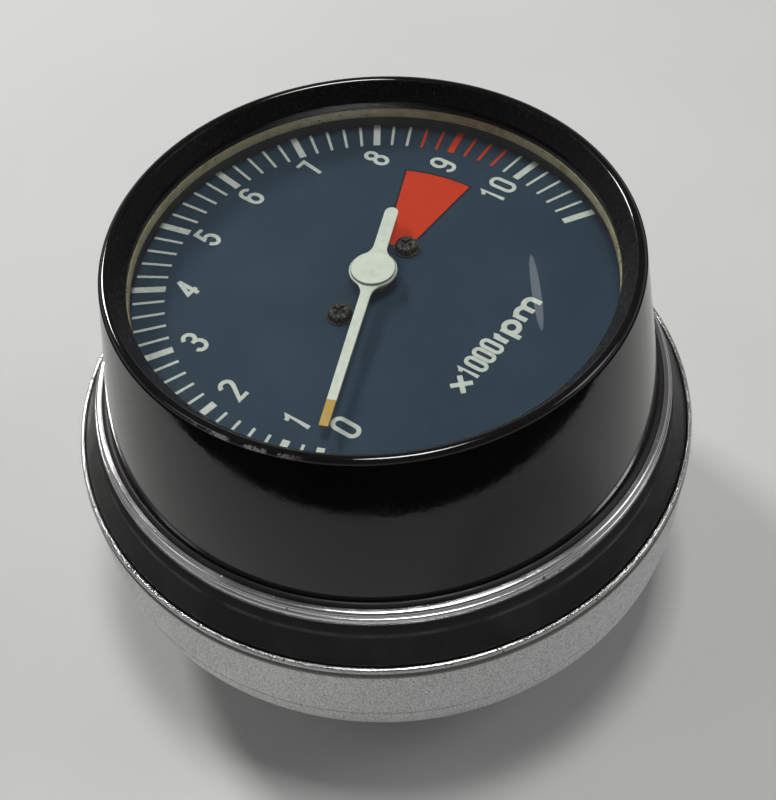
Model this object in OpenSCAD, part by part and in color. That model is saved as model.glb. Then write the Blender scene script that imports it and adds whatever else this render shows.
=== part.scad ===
// Motorcycle tachometer with a drag-cup movement, lying on its back with the dial up.
// Z is the instrument's axis, z = 0 is the plane it rests on, +Y is 12 o'clock on the dial.

/* [Hood] */
// Radius of the crown line, the highest circle of the rim
crown_r = 41.9; // [36:0.1:44]
// Height of the hood from its foot flange to the crown
hood_h = 32.15; // [28:0.05:40]
// Sheet thickness of the hood
hood_wall = 0.8; // [0.6:0.1:1]
// Outer rounding of the rim
rim_round = 3.2; // [2.8:0.1:4]
// Inner rounding of the rim, towards the glass
lip_round = 1.3; // [1.1:0.1:1.8]
// Depth of the lip that runs down to the glass
lip_h = 3.4; // [2.8:0.1:5]
// Outer radius of the hood at its foot
hood_foot_r = 48.75; // [48:0.05:52]
// Width of the hood's foot flange
hood_flange_w = 1.45; // [1.2:0.05:2.5]

/* [Seam] */
// Thickness of the seal's legs above and below the hood's flange
seal_leg = 0.25; // [0.2:0.05:0.6]
// Height of the seal's wedge above the hood's flange
seal_rise = 2.25; // [1.5:0.05:3]
// Width of the seal's wedge at its top
seal_top_w = 0.3; // [0.2:0.05:0.8]
// Sheet thickness of the crimp ring
ring_t = 0.4; // [0.3:0.05:0.6]
// Radius of the crimp ring's fat bead
ring_bead_r = 0.7; // [0.5:0.05:0.8]
// Width of the crimp ring's lower lip, under the can's flange
ring_lower_w = 1.9; // [1.4:0.1:2.2]

/* [Can] */
// Sheet thickness of the rear can
can_wall = 0.7; // [0.5:0.1:1.2]
// Depth of the rear can under its flange
can_depth = 27.5; // [24:0.5:36]
// Outer corner radius of the rear can's floor
can_corner = 4; // [2:0.5:8]
// Step from the hood's foot in to the can's wall
can_step = 1.35; // [1.2:0.05:3]
// Width of the can's flange beyond its wall
can_flange_w = 3.6; // [3.55:0.05:4.2]

/* [Cup] */
// Space between the can's wall and the cup's wall
cup_space = 9.8; // [9.1:0.1:15]
// Sheet thickness of the cup
cup_wall = 1.0; // [0.7:0.1:1.4]
// Outer corner radius of the cup
cup_corner = 13; // [6:0.5:16]
// Radius of the rolled bead on the cup's lip
bead_r = 1.2; // [0.9:0.1:1.5]
// Step from the cup's wall in to the middle of the bead
bead_step = 2.0; // [1.8:0.1:2.6]
// Height of the pressed line above the cup's floor
line_h = 15.6; // [14:0.1:20]
// Depth of the pressed line
line_depth = 0.25; // [0.1:0.05:0.35]
// Space between the cup's floor and the can
under_gap = 6; // [5:0.5:12]
// Height of the can's flange above the cup's bead
seam_rise = 4.5; // [3.5:0.1:8]

/* [Cushion] */
// Width of the cushion's steep upper band
cushion_top_w = 1.8; // [1:0.1:2.4]
// Height of the cushion's steep upper band
cushion_top_h = 1.75; // [1:0.05:2.2]
// Depth of the cushion's skirt below the bead's crest
skirt_h = 5.2; // [4.4:0.1:8]
// Thickness of the cushion's rubber
cushion_t = 2.0; // [1.4:0.1:2.3]

/* [Glass and dial] */
// Thickness of the glass
lens_t = 1.6; // [1:0.1:2.4]
// How far the glass reaches under the lip
lens_bite = 1.9; // [1:0.1:2.4]
// Thickness of the rubber above and below the glass
gasket_leg = 0.5; // [0.3:0.1:1]
// Height of the light ring between dial and gasket
light_ring_h = 4.6; // [4:0.1:8]
// Wall of the light ring
light_ring_wall = 0.7; // [0.4:0.1:1.5]
// Thickness of the dial plate
dial_t = 0.8; // [0.5:0.1:1.5]
// Radius of the hole in the middle of the dial
dial_hole_r = 2.6; // [2:0.1:3.5]
// Distance of each dial screw from the axis
dial_screw_x = 9.3; // [8:0.1:10]
// Radius of the dial screws' heads
dial_screw_head_r = 1.95; // [1.6:0.05:2.2]
// Height of the dial screws' heads
dial_screw_head_h = 1.1; // [0.8:0.1:1.4]

/* [Scale] */
// Highest number that the scale reaches
scale_top = 11; // [9:1:11]
// Angle between two long marks
scale_step = 22.7; // [18:0.1:23]
// Value that stands at 12 o'clock
scale_mid = 5.62; // [5:0.02:6]
// Angle from the 0 mark to the 1 mark
zero_step = 9; // [6:0.5:16]
// Short marks to each long one
minor_count = 5; // [2:1:10]
// Bare edge of the dial outside the long marks
scale_margin = 2.85; // [1:0.05:4]
// Length of the long marks
major_len = 6.05; // [4:0.05:8]
// Width of the long marks
major_w = 1.25; // [0.8:0.05:1.6]
// Length of the short marks
minor_len = 5.35; // [3:0.05:7]
// Width of the short marks
minor_w = 0.5; // [0.3:0.05:0.7]
// First value of the red sector
red_from = 8.5; // [6:0.1:9]
// Last value of the red sector
red_to = 9.6; // [9.2:0.2:10.4]
// Gap between the red sector and the marks
red_gap = 6.9; // [4:0.1:10]
// Inner radius of the red sector
red_start_r = 9; // [7:0.5:14]
// Thickness of the printed marks
print_t = 0.06; // [0.04:0.01:0.15]

/* [Pointer] */
// Gap between the pointer's tip and the marks
tip_gap = 2.1; // [0.5:0.1:6]
// Width of the pointer at its tip
tip_w = 1.45; // [1:0.05:2]
// Width of the pointer at its hub
arm_w = 1.75; // [1.2:0.05:2.4]
// Length of the pointer's tail
tail_r = 15.2; // [10:0.1:20]
// Width of the pointer's tail
tail_w = 2.3; // [1.6:0.1:3]
// Radius of the pointer's hub disc
hub_r = 4; // [3.4:0.1:5]
// Radius of the fillets beside the hub disc
hub_fillet = 3; // [1:0.1:4]
// Thickness of the pointer
blade_t = 0.4; // [0.3:0.05:0.6]
// Height of the pointer above the dial
blade_rise = 2.4; // [2.2:0.1:3]
// Radius of the hub's cap
cap_r = 3.75; // [3:0.05:5]
// Thickness of the hub's cap
cap_t = 0.45; // [0.3:0.05:0.6]
// Sweep of the pointer from stop to stop
sweep = 240; // [200:5:260]

/* [Movement] */
// Radius of the pointer's staff
staff_r = 0.5; // [0.4:0.05:0.7]
// Radius of the staff's lower pivot
pivot_r = 0.3; // [0.2:0.05:0.35]
// Height of the bridge's posts under the dial
post_h = 1.7; // [1.7:0.1:4]
// Thickness of the bridge
bridge_t = 1.5; // [1.2:0.1:2.5]
// Radius of the bridge's middle disc
bridge_r = 13; // [12.5:0.5:15]
// Distance of the hairspring below the bridge
spring_drop = 1.8; // [1:0.1:4]
// Height of the hairspring's strip
strip_h = 0.8; // [0.5:0.1:1.2]
// Thickness of the hairspring's strip
strip_t = 0.2; // [0.1:0.05:0.3]
// Outer radius of the hairspring
spring_r = 8.4; // [7:0.1:8.5]
// Turns of the hairspring
spring_turns = 6; // [4:1:8]
// Radius of the collet
collet_r = 1.4; // [1.1:0.1:1.6]
// Thickness of the collet's stop arm
arm_t = 0.6; // [0.4:0.1:1]
// Outer radius of the drag cup
drag_r = 14.7; // [12:0.1:16]
// Height of the drag cup
drag_h = 10; // [7:0.5:11]
// Wall of the drag cup
drag_wall = 0.6; // [0.4:0.05:1]
// Air gap on each side of the drag cup's wall
air_gap = 0.75; // [0.5:0.05:1.2]
// Height of the magnet
magnet_h = 9; // [7:0.5:12]
// Wall of the flux ring
flux_wall = 2; // [1.2:0.1:3]
// Radius of the frame's pillars
pillar_r = 2.2; // [1.9:0.1:3]
// Outer radius of the frame's tower
tower_r = 7; // [6.5:0.1:9]
// Radius of the frame's foot
foot_r = 23; // [21.5:0.5:23]
// Thickness of the frame's foot
foot_t = 3; // [2:0.5:5]
// Thickness of the frame's platform
platform_t = 2.5; // [1.5:0.5:4]
// Thickness of the frame's ribs
rib_t = 2; // [1.2:0.1:3]

/* [Drive] */
// Radius of the drive spindle
spindle_r = 2.5; // [2.2:0.1:2.7]
// Width of the square socket for the cable's end
square_w = 2.7; // [2:0.1:3]
// Depth of the square socket
square_depth = 10; // [6:0.5:14]
// Radius of the ferrule's thread
thread_r = 6; // [5.5:0.1:6.4]
// Length of the ferrule's thread
thread_h = 9.5; // [7:0.5:11]
// Radius of the ferrule's socket for the cable
socket_r = 4; // [3.9:0.1:4.6]
// Depth of the ferrule's socket up to the bush
socket_h = 10; // [9:0.5:12]
// Outer radius of the spindle's bushes
bush_r = 3.6; // [3.4:0.05:3.8]
// Length of the spindle's bushes
bush_h = 8; // [5:0.5:9]

/* [Mounting] */
// Reach of the studs and the ferrule below the cup
rear_h = 12; // [12:0.5:24]
// Thread radius of the mounting studs
stud_r = 3; // [2.5:0.5:3]
// Depth of the studs' thread, by which their shanks are thinner
stud_thread = 0.3; // [0.2:0.05:0.4]
// Distance of each stud to the left and right of the axis
stud_x = 26; // [25:0.5:29]
// Distance of the studs below the axis
stud_y = 12; // [10:0.5:14]
// Outer radius of the studs' rubber dampers
damper_r = 8; // [7:0.5:9]
// Thickness of the dampers below the cup
damper_h = 2.2; // [1.5:0.1:4]
// Thickness of the studs' washers
washer_t = 1.2; // [0.8:0.1:1.6]
// Height of the studs' nuts
nut_h = 3.2; // [2.4:0.1:5]
// Width of the studs' nuts across the flats
nut_w = 10; // [8:0.5:13]

/* [Lamps] */
// Distance of each lamp from the axis
lamp_y = 30; // [29.5:0.5:33]
// Radius of the lamps' bulbs
bulb_r = 4.6; // [3.5:0.1:5]
// Height of the bulbs above their holders
bulb_h = 17; // [14:0.5:18]
// Distance of the wires' grommet from the axis
wire_y = 22; // [20:0.5:26]
// Radius of the hole for the wires
wire_r = 3.2; // [3:0.1:4]

/* [Hidden] */
$fn = 96;

// Clearances, each used wherever pieces meet in that way
seat_gap = 0.03;
run_gap = 0.05;
play = 0.3;
rubber_gap = 0.1;
cut = 1;

// Small steps, lips and depths
rim_clear = 0.4;
seal_wall = 0.35;
ring_reach = 0.5;
washer_lip = 0.35;
boss_rise = 1.6;
roof_gap = 1.2;
pivot_depth = 2;
spindle_drop = 3.2;
bush_flange_r = 5;
screw_depth = 6;
groove_depth = 0.4;
groove_h = 0.7;

// Heights, from the rest plane up
cup_floor_z = rear_h;
cup_inner_z = cup_floor_z + cup_wall;
can_floor_z = cup_inner_z + under_gap;
can_inner_z = can_floor_z + can_wall;
seam_z = can_floor_z + can_depth;
lip_z = seam_z - seam_rise;
can_top_z = seam_z + can_wall;
hood_z = can_top_z + seal_leg;
hood_flange_z = hood_z + hood_wall;
ring_inner_z = hood_flange_z + seal_leg;
ring_top_z = ring_inner_z + ring_t;
crown_z = hood_z + hood_h;
lip_end_z = crown_z - lip_h;
lens_top_z = lip_end_z - gasket_leg;
lens_z = lens_top_z - lens_t;
gasket_z = lens_z - gasket_leg;
dial_z = gasket_z - light_ring_h;
dial_under_z = dial_z - dial_t;
line_z = cup_floor_z + line_h;
bead_z = lip_z - bead_r;

// Heights of the movement, from the dial down
blade_z = dial_z + blade_rise;
cap_z = blade_z + blade_t;
bridge_top_z = dial_under_z - post_h;
bridge_z = bridge_top_z - bridge_t;
spring_top_z = bridge_z - spring_drop;
spring_z = spring_top_z - strip_h;
arm_top_z = spring_z - 2 * play;
arm_z = arm_top_z - arm_t;
drag_top_z = arm_z - boss_rise;
drag_roof_z = drag_top_z - drag_wall;
magnet_top_z = drag_roof_z - roof_gap;
magnet_z = magnet_top_z - magnet_h;
spindle_top_z = magnet_top_z - spindle_drop;
hub_flange_t = 1.2;
hub_z = magnet_z - hub_flange_t;
thrust_t = 0.5;
bush_flange_t = 0.6;
platform_z = hub_z - thrust_t - bush_flange_t - run_gap;
platform_under_z = platform_z - platform_t;
foot_top_z = can_inner_z + foot_t;

// Radii of the case
rim_tilt = atan((hood_foot_r - crown_r) / (crown_z - rim_round - hood_flange_z))
    - asin(rim_round / norm([hood_foot_r - crown_r, crown_z - rim_round - hood_flange_z]));
function hood_r_at(z) = hood_foot_r - (z - hood_flange_z) * tan(rim_tilt);
opening_r = crown_r - lip_round;
gasket_r = crown_r + rim_round - hood_wall - rim_clear;
gasket_inner_r = opening_r + rubber_gap;
lens_r = opening_r + lens_bite;
dial_r = gasket_r;
light_ring_r = gasket_r - light_ring_wall;
dial_washer_r = dial_screw_head_r + washer_lip;
dial_screw_r = 1;
dial_post_r = 2.2;
dial_screw_places = [[-dial_screw_x, 0], [dial_screw_x, 0]];
can_r = hood_foot_r - can_step;
can_flange_r = can_r + can_flange_w;
hood_flange_r = hood_foot_r + hood_flange_w;
seal_r = hood_flange_r + seal_wall;
ring_inner_r = seal_r + run_gap;
ring_edge_r = hood_flange_r - ring_reach;
ring_r = can_flange_r + rubber_gap + ring_t;
cup_r = can_r + cup_space + cup_wall;
bead_mid_r = cup_r - bead_step;
cushion_r = bead_mid_r - bead_r - rubber_gap;

// The scale and the pointer
major_r = dial_r - scale_margin;
scale_r = major_r - major_len;
tip_r = scale_r - tip_gap;
red_r = scale_r - red_gap;
function scale_angle(v) = v < 1
    ? scale_angle(1) + (1 - v) * zero_step
    : 90 + (scale_mid - v) * scale_step;
rest_angle = scale_angle(0);
minors = [for (i = [0 : (scale_top - 1) * minor_count]) if (i % minor_count != 0) 1 + i / minor_count];
reds = [for (i = [1 : 6]) red_to + (i - 6) / minor_count];
function is_red(v) = v > reds[0] - 0.01 && v < red_to + 0.01;

// The movement
arm_angle = rest_angle - 180;
arm_half_w = 0.45;
stop_post_r = 0.6;
stop_r = spring_r + strip_t / 2 + 2 * play + stop_post_r + rubber_gap;
stop_reach = stop_r + stop_post_r;
stop_offset = asin((stop_post_r + arm_half_w + play) / stop_r);
stop_angles = [arm_angle + stop_offset, arm_angle - sweep - stop_offset];
stud_angle = arm_angle + (360 - sweep) / 2;
spring_stud_r = 0.9;
spring_inner_r = collet_r + 0.5;
points_per_turn = 24;
staff_bush_r = 1.8;
staff_bush_rise = 0.8;
magnet_r = drag_r - drag_wall - air_gap;
flux_inner_r = drag_r + air_gap;
flux_r = flux_inner_r + flux_wall;
pillar_ring_r = flux_r + 3 * play + pillar_r;
platform_r = pillar_ring_r + pillar_r + rim_clear;
pillar_angles = [90, 210, 330];
bridge_screw_r = 1.25;
bridge_screw_head_r = 2.1;
bridge_screw_head_h = 1.4;
rib_angles = [30, 120, 210, 300];
magnet_hub_r = 4;
frame_screw_ring_r = 18;
frame_screw_r = 1.5;
frame_screw_head_r = 2.8;
frame_screw_head_h = 2;
frame_screw_angles = [30, 150, 270];

// The drive
spindle_reach = 2;
spindle_z = socket_h - spindle_reach;
bush_z = socket_h;
ring_z = bush_z - run_gap - 1;
bush_bore_r = spindle_r + run_gap;
shank_r = 4.9;
shank_h = 6;
collar_r = 8;
collar_h = 1.5;
thread_shoulder = 0.5;
body_r = thread_r + thread_shoulder;

// The mounting
stud_places = [[-stud_x, -stud_y], [stud_x, -stud_y]];
stud_shank_r = stud_r - stud_thread;
stud_head_r = 4.6;
stud_head_h = 1.5;
damper_neck_r = 5.5;
washer_z = cup_floor_z - damper_h - washer_t;
nut_z = washer_z - nut_h;
lamp_places = [[0, lamp_y], [0, -lamp_y]];
lamp_body_r = 5.2;
lamp_flange_r = 6.8;
lamp_drop = 3.5;
lamp_rise = 4.5;
cap_step = 0.9;

// Points along an arc in the plane, from angle a0 to a1
function arc(mid, r, a0, a1, steps = 8) =
    [for (i = [0 : steps]) mid + r * [cos(a0 + (a1 - a0) * i / steps), sin(a0 + (a1 - a0) * i / steps)]];

// The points of the hairspring's middle line, a spiral that ends at the stud
spring_pitch = (spring_r - spring_inner_r) / spring_turns;
spring_end = stud_angle + 8;
spring_stud_ring_r = spring_r - spring_pitch * (spring_end - stud_angle) / 360;
spring_path = [
    for (i = [0 : spring_turns * points_per_turn])
        let (a = spring_end - (spring_turns * points_per_turn - i) * 360 / points_per_turn)
        (spring_inner_r + spring_pitch * i / points_per_turn) * [cos(a), sin(a)]
];
spring_gap = min([
    for (i = [0 : len(spring_path) - 1 - points_per_turn])
        norm(spring_path[i + points_per_turn] - spring_path[i])
]) - strip_t;
echo("Least gap between the hairspring's turns, in mm", spring_gap);

// A ring, turned from a profile of [radius, height] points
module turned(points) {
    rotate_extrude() polygon(points);
}

// A tube between two heights
module tube(r, bore, z0, z1) {
    translate([0, 0, z0])
        difference() {
            cylinder(r = r, h = z1 - z0);
            translate([0, 0, -cut]) cylinder(r = bore, h = z1 - z0 + 2 * cut);
        }
}

// A plain round bar between two heights
module bar(r, z0, z1) {
    translate([0, 0, z0]) cylinder(r = r, h = z1 - z0);
}

module around(angles, r) {
    for (a = angles) rotate([0, 0, a]) translate([r, 0, 0]) children();
}

module at_places(places) {
    for (p = places) translate([p[0], p[1], 0]) children();
}

// Hood: a pressed shell with a rolled rim, its inner face one sheet inside the outer one
module hood() {
    inner_foot_r = hood_foot_r - hood_wall / cos(rim_tilt) + hood_wall * tan(rim_tilt);
    color([0.05, 0.05, 0.06])
        turned(concat(
            [[hood_flange_r, hood_z], [hood_flange_r, hood_flange_z], [hood_foot_r, hood_flange_z]],
            arc([crown_r, crown_z - rim_round], rim_round, rim_tilt, 90, 12),
            arc([crown_r, crown_z - lip_round], lip_round, 90, 180),
            [[opening_r, lip_end_z], [opening_r + hood_wall, lip_end_z]],
            arc([crown_r, crown_z - lip_round], lip_round - hood_wall, 180, 90, 4),
            arc([crown_r, crown_z - rim_round], rim_round - hood_wall, 90, rim_tilt, 12),
            [[inner_foot_r, hood_z]]
        ));
}

module lens() {
    color([0.8, 0.85, 0.85, 0.3]) bar(lens_r, lens_z, lens_top_z);
}

// Rubber channel round the edge of the glass
module lens_gasket() {
    color([0.08, 0.08, 0.08])
        turned([
            [gasket_inner_r, gasket_z], [gasket_r, gasket_z],
            [gasket_r, lip_end_z], [gasket_inner_r, lip_end_z],
            [gasket_inner_r, lens_top_z], [lens_r + seat_gap, lens_top_z],
            [lens_r + seat_gap, lens_z], [gasket_inner_r, lens_z]
        ]);
}

module light_ring() {
    color([0.85, 0.8, 0.65]) tube(gasket_r, light_ring_r, dial_z, gasket_z);
}

module dial_plate() {
    color([0.22, 0.28, 0.33])
        difference() {
            bar(dial_r, dial_under_z, dial_z);
            bar(dial_hole_r, dial_under_z - cut, dial_z + cut);
            at_places(dial_screw_places)
                bar(dial_screw_r + rubber_gap, dial_under_z - cut, dial_z + cut);
        }
}

// One printed mark, square to the radius
module mark(v, len, w) {
    rotate([0, 0, scale_angle(v)])
        translate([scale_r, -w / 2, dial_z])
            cube([len, w, print_t]);
}

module scale_marks() {
    color([0.9, 0.88, 0.8]) {
        for (v = [0 : scale_top]) if (!is_red(v)) mark(v, major_len, major_w);
        for (v = minors) if (!is_red(v)) mark(v, minor_len, minor_w);
        mark(0.5, minor_len, minor_w);
    }
}

module redline_marks() {
    color([0.75, 0.24, 0.12]) {
        for (v = reds) {
            whole = abs(v - round(v)) < 0.01;
            mark(v, whole ? major_len : minor_len, whole ? major_w : minor_w);
        }
        translate([0, 0, dial_z])
            linear_extrude(print_t)
                difference() {
                    polygon(concat(
                        arc([0, 0], red_r, scale_angle(red_from), scale_angle(red_to)),
                        arc([0, 0], red_start_r, scale_angle(red_to), scale_angle(red_from))
                    ));
                    translate([dial_screw_x, 0]) circle(r = dial_washer_r + run_gap);
                }
    }
}

// Screws with a washer and a cross recess, through the dial into the bridge's posts
module dial_screws() {
    washer_h = 0.25;
    head_z = dial_z + washer_h;
    slot_w = 0.55;
    slot_len = 2.3;
    slot_depth = 0.6;
    head_round = 0.5;
    head_mid = [dial_screw_head_r - head_round, head_z + dial_screw_head_h - head_round];
    color([0.06, 0.06, 0.06])
        at_places(dial_screw_places)
            difference() {
                union() {
                    bar(dial_screw_r, bridge_z + seat_gap, head_z);
                    bar(dial_washer_r, dial_z, head_z);
                    rotate_extrude()
                        polygon(concat(
                            [[0, head_z], [dial_screw_head_r, head_z]],
                            arc(head_mid, head_round, 0, 90, 4),
                            [[0, head_z + dial_screw_head_h]]
                        ));
                }
                translate([0, 0, head_z + dial_screw_head_h - slot_depth]) {
                    translate([-slot_len / 2, -slot_w / 2, 0]) cube([slot_len, slot_w, cut]);
                    translate([-slot_w / 2, -slot_len / 2, 0]) cube([slot_w, slot_len, cut]);
                }
            }
}

// The waist between the hub disc and an arm of half width w, tangent to both
module hub_waist(w) {
    y = w + hub_fillet;
    x = sqrt(pow(hub_r + hub_fillet, 2) - y * y);
    difference() {
        polygon([[0, 0], [x, -y], [x, y]]);
        translate([x, -y]) circle(r = hub_fillet);
        translate([x, y]) circle(r = hub_fillet);
    }
}

module pointer_blade() {
    root_x = 3;
    tail_end_r = tail_w / 2;
    color([0.82, 0.83, 0.78])
        rotate([0, 0, rest_angle])
            translate([0, 0, blade_z])
                linear_extrude(blade_t)
                    difference() {
                        union() {
                            circle(r = hub_r);
                            polygon([
                                [root_x, -arm_w / 2], [tip_r, -tip_w / 2],
                                [tip_r, tip_w / 2], [root_x, arm_w / 2]
                            ]);
                            hub_waist(arm_w / 2);
                            translate([-tail_r + tail_end_r, -tail_end_r])
                                square([tail_r - tail_end_r - root_x, tail_w]);
                            translate([-tail_r + tail_end_r, 0]) circle(r = tail_end_r);
                            rotate([0, 0, 180]) hub_waist(tail_w / 2);
                        }
                        circle(r = staff_r + seat_gap);
                    }
}

module pointer_cap() {
    edge = 0.12;
    color([0.85, 0.85, 0.82])
        turned([
            [0, cap_z], [cap_r, cap_z], [cap_r, cap_z + cap_t - edge],
            [cap_r - edge, cap_z + cap_t], [0, cap_z + cap_t]
        ]);
}

// Brass hub that the blade is riveted to and that grips the staff
module pointer_hub() {
    rivet_r = 1.5;
    color([0.72, 0.58, 0.3]) tube(rivet_r, staff_r + seat_gap, dial_z + 2 * play, blade_z);
}

module pointer_staff() {
    color([0.6, 0.62, 0.64]) {
        bar(staff_r, magnet_top_z + play, cap_z);
        bar(pivot_r, magnet_top_z - pivot_depth, magnet_top_z + play);
    }
}

// Collet with the arm that meets the stops
module hair_collet() {
    color([0.72, 0.58, 0.3])
        difference() {
            union() {
                bar(collet_r, arm_z, spring_top_z + play);
                rotate([0, 0, arm_angle])
                    translate([0, 0, arm_z])
                        linear_extrude(arm_t) {
                            translate([0, -arm_half_w]) square([stop_reach, 2 * arm_half_w]);
                            translate([stop_reach, 0]) circle(r = arm_half_w);
                        }
            }
            bar(staff_r + seat_gap, arm_z - cut, spring_top_z + cut);
        }
}

// Flat spiral strip from beside the collet out to the stud
module hairspring() {
    last = len(spring_path) - 1;
    outer = [for (p = spring_path) p * (1 + strip_t / 2 / norm(p))];
    inner = [for (i = [last : -1 : 0]) spring_path[i] * (1 - strip_t / 2 / norm(spring_path[i]))];
    color([0.55, 0.6, 0.7])
        translate([0, 0, spring_z])
            linear_extrude(strip_h)
                polygon(concat(outer, inner));
}

// Post in the bridge with a slot that holds the hairspring's outer end
module spring_stud() {
    slot = strip_t + 4 * run_gap;
    path_r = spring_stud_ring_r;
    color([0.72, 0.58, 0.3])
        rotate([0, 0, stud_angle])
            translate([path_r, 0, 0])
                difference() {
                    bar(spring_stud_r, spring_z - run_gap, bridge_top_z);
                    translate([-slot / 2, -spring_stud_r - cut, spring_z - cut])
                        cube([slot, 2 * (spring_stud_r + cut), strip_h + cut + run_gap]);
                }
}

module stop_posts() {
    color([0.6, 0.62, 0.64])
        around(stop_angles, stop_r) bar(stop_post_r, arm_z - play, bridge_top_z);
}

module staff_bush() {
    color([0.72, 0.58, 0.3])
        tube(staff_bush_r, staff_r + run_gap, bridge_z, bridge_top_z + staff_bush_rise);
}

// Bridge: a disc with three arms to the pillars and two posts up to the dial
module upper_bridge() {
    arm_half = pillar_r + 0.3;
    window_r = 2.4;
    color([0.62, 0.63, 0.64])
        difference() {
            union() {
                bar(bridge_r, bridge_z, bridge_top_z);
                around(pillar_angles, pillar_ring_r) bar(arm_half, bridge_z, bridge_top_z);
                for (a = pillar_angles)
                    rotate([0, 0, a])
                        translate([0, -arm_half, bridge_z])
                            cube([pillar_ring_r, 2 * arm_half, bridge_t]);
                at_places(dial_screw_places)
                    bar(dial_post_r, bridge_z, dial_under_z);
            }
            bar(staff_bush_r + seat_gap, bridge_z - cut, bridge_top_z + cut);
            at_places(dial_screw_places)
                bar(dial_screw_r + seat_gap, bridge_z - cut, dial_under_z + cut);
            around(pillar_angles, pillar_ring_r)
                bar(bridge_screw_r + seat_gap, bridge_z - cut, bridge_top_z + cut);
            around(stop_angles, stop_r)
                bar(stop_post_r + seat_gap, bridge_z - cut, bridge_top_z + cut);
            rotate([0, 0, stud_angle])
                translate([spring_stud_ring_r, 0, 0])
                    bar(spring_stud_r + seat_gap, bridge_z - cut, bridge_top_z + cut);
            around([235, 270, 305], bridge_r - window_r - 2)
                bar(window_r, bridge_z - cut, bridge_top_z + cut);
        }
}

// A slotted cheese-head screw whose head stands on z and whose shank runs down, or up with flip
module slotted_screw(r, head_r, head_h, z, shank) {
    slot_w = 0.6;
    slot_depth = 0.7;
    difference() {
        union() {
            bar(head_r, z, z + head_h);
            bar(r, z - shank, z + cut / 2);
        }
        translate([-head_r, -slot_w / 2, z + head_h - slot_depth]) cube([2 * head_r, slot_w, cut]);
    }
}

module bridge_screws() {
    color([0.6, 0.62, 0.64])
        around(pillar_angles, pillar_ring_r)
            slotted_screw(
                bridge_screw_r, bridge_screw_head_r, bridge_screw_head_h,
                bridge_top_z, screw_depth
            );
}

// Aluminium cup that the turning magnet drags round against the hairspring
module drag_cup() {
    boss_r = 1.6;
    inner_r = drag_r - drag_wall;
    bore = staff_r + seat_gap;
    color([0.78, 0.79, 0.8])
        turned([
            [bore, drag_roof_z], [inner_r, drag_roof_z], [inner_r, drag_top_z - drag_h],
            [drag_r, drag_top_z - drag_h], [drag_r, drag_top_z],
            [boss_r, drag_top_z], [boss_r, arm_z - play], [bore, arm_z - play]
        ]);
}

module magnet() {
    color([0.3, 0.3, 0.32]) tube(magnet_r, magnet_hub_r + seat_gap, magnet_z, magnet_top_z);
}

// Hub that carries the magnet on the spindle, with the pivot hole in its top
module magnet_hub() {
    flange_r = 9;
    color([0.78, 0.79, 0.8])
        difference() {
            union() {
                bar(flange_r, hub_z, magnet_z);
                bar(magnet_hub_r, hub_z, magnet_top_z);
            }
            bar(spindle_r + seat_gap, hub_z - cut, spindle_top_z + seat_gap);
            bar(pivot_r + run_gap, magnet_top_z - pivot_depth - play, magnet_top_z + cut);
        }
}

module flux_ring() {
    color([0.45, 0.46, 0.48]) tube(flux_r, flux_inner_r, platform_z, magnet_top_z);
}

// Die-cast frame: a foot, a tower with ribs, a platform and three pillars up to the bridge
module movement_frame() {
    tower_bore = 4.3;
    shank_bore = shank_r + seat_gap;
    upper_bush_z = platform_z - bush_h;
    rib_foot = foot_r - 3;
    color([0.66, 0.67, 0.68])
        difference() {
            union() {
                bar(foot_r, can_inner_z, foot_top_z);
                bar(tower_r, can_inner_z, platform_z);
                bar(platform_r, platform_under_z, platform_z);
                around(pillar_angles, pillar_ring_r) bar(pillar_r, platform_under_z, bridge_z);
                for (a = rib_angles)
                    rotate([0, 0, a])
                        translate([0, rib_t / 2, 0])
                            rotate([90, 0, 0])
                                linear_extrude(rib_t)
                                    polygon([
                                        [tower_r - 1, foot_top_z - 1], [rib_foot, foot_top_z - 1],
                                        [rib_foot, foot_top_z],
                                        [tower_r + 3, foot_top_z + 8], [tower_r + 3, platform_under_z - 6],
                                        [rib_foot, platform_under_z], [rib_foot, platform_z - 1],
                                        [tower_r - 1, platform_z - 1]
                                    ]);
            }
            bar(shank_bore, can_inner_z - cut, can_inner_z + shank_h + play);
            bar(tower_bore, can_inner_z, upper_bush_z);
            bar(bush_r + seat_gap, upper_bush_z - cut, platform_z + cut);
            around(pillar_angles, pillar_ring_r)
                bar(bridge_screw_r + seat_gap, bridge_z - screw_depth, bridge_z + cut);
            around(frame_screw_angles, frame_screw_ring_r)
                bar(frame_screw_r + seat_gap, can_inner_z - cut, foot_top_z - 0.4);
        }
}

// Screws up through the can's floor into the frame's foot
module frame_screws() {
    color([0.6, 0.62, 0.64])
        around(frame_screw_angles, frame_screw_ring_r)
            translate([0, 0, can_floor_z])
                rotate([180, 0, 0])
                    slotted_screw(
                        frame_screw_r, frame_screw_head_r, frame_screw_head_h, 0,
                        can_wall + foot_t - 0.6
                    );
}

module thrust_washer() {
    thrust_z = platform_z + bush_flange_t;
    color([0.72, 0.58, 0.3]) tube(bush_flange_r, spindle_r + 2 * run_gap, thrust_z, thrust_z + thrust_t);
}

// Flanged bronze bush in the frame's platform
module upper_bush() {
    color([0.7, 0.5, 0.28])
        turned([
            [bush_bore_r, platform_z - bush_h], [bush_r, platform_z - bush_h],
            [bush_r, platform_z], [bush_flange_r, platform_z],
            [bush_flange_r, platform_z + bush_flange_t], [bush_bore_r, platform_z + bush_flange_t]
        ]);
}

module lower_bush() {
    color([0.7, 0.5, 0.28]) tube(bush_r, bush_bore_r, bush_z, bush_z + bush_h);
}

module drive_spindle() {
    color([0.6, 0.62, 0.64])
        difference() {
            bar(spindle_r, spindle_z, spindle_top_z);
            translate([-square_w / 2, -square_w / 2, spindle_z - cut])
                cube([square_w, square_w, square_depth + cut]);
            tube(spindle_r + cut, spindle_r - groove_depth, ring_z, ring_z + groove_h);
        }
}

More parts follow.
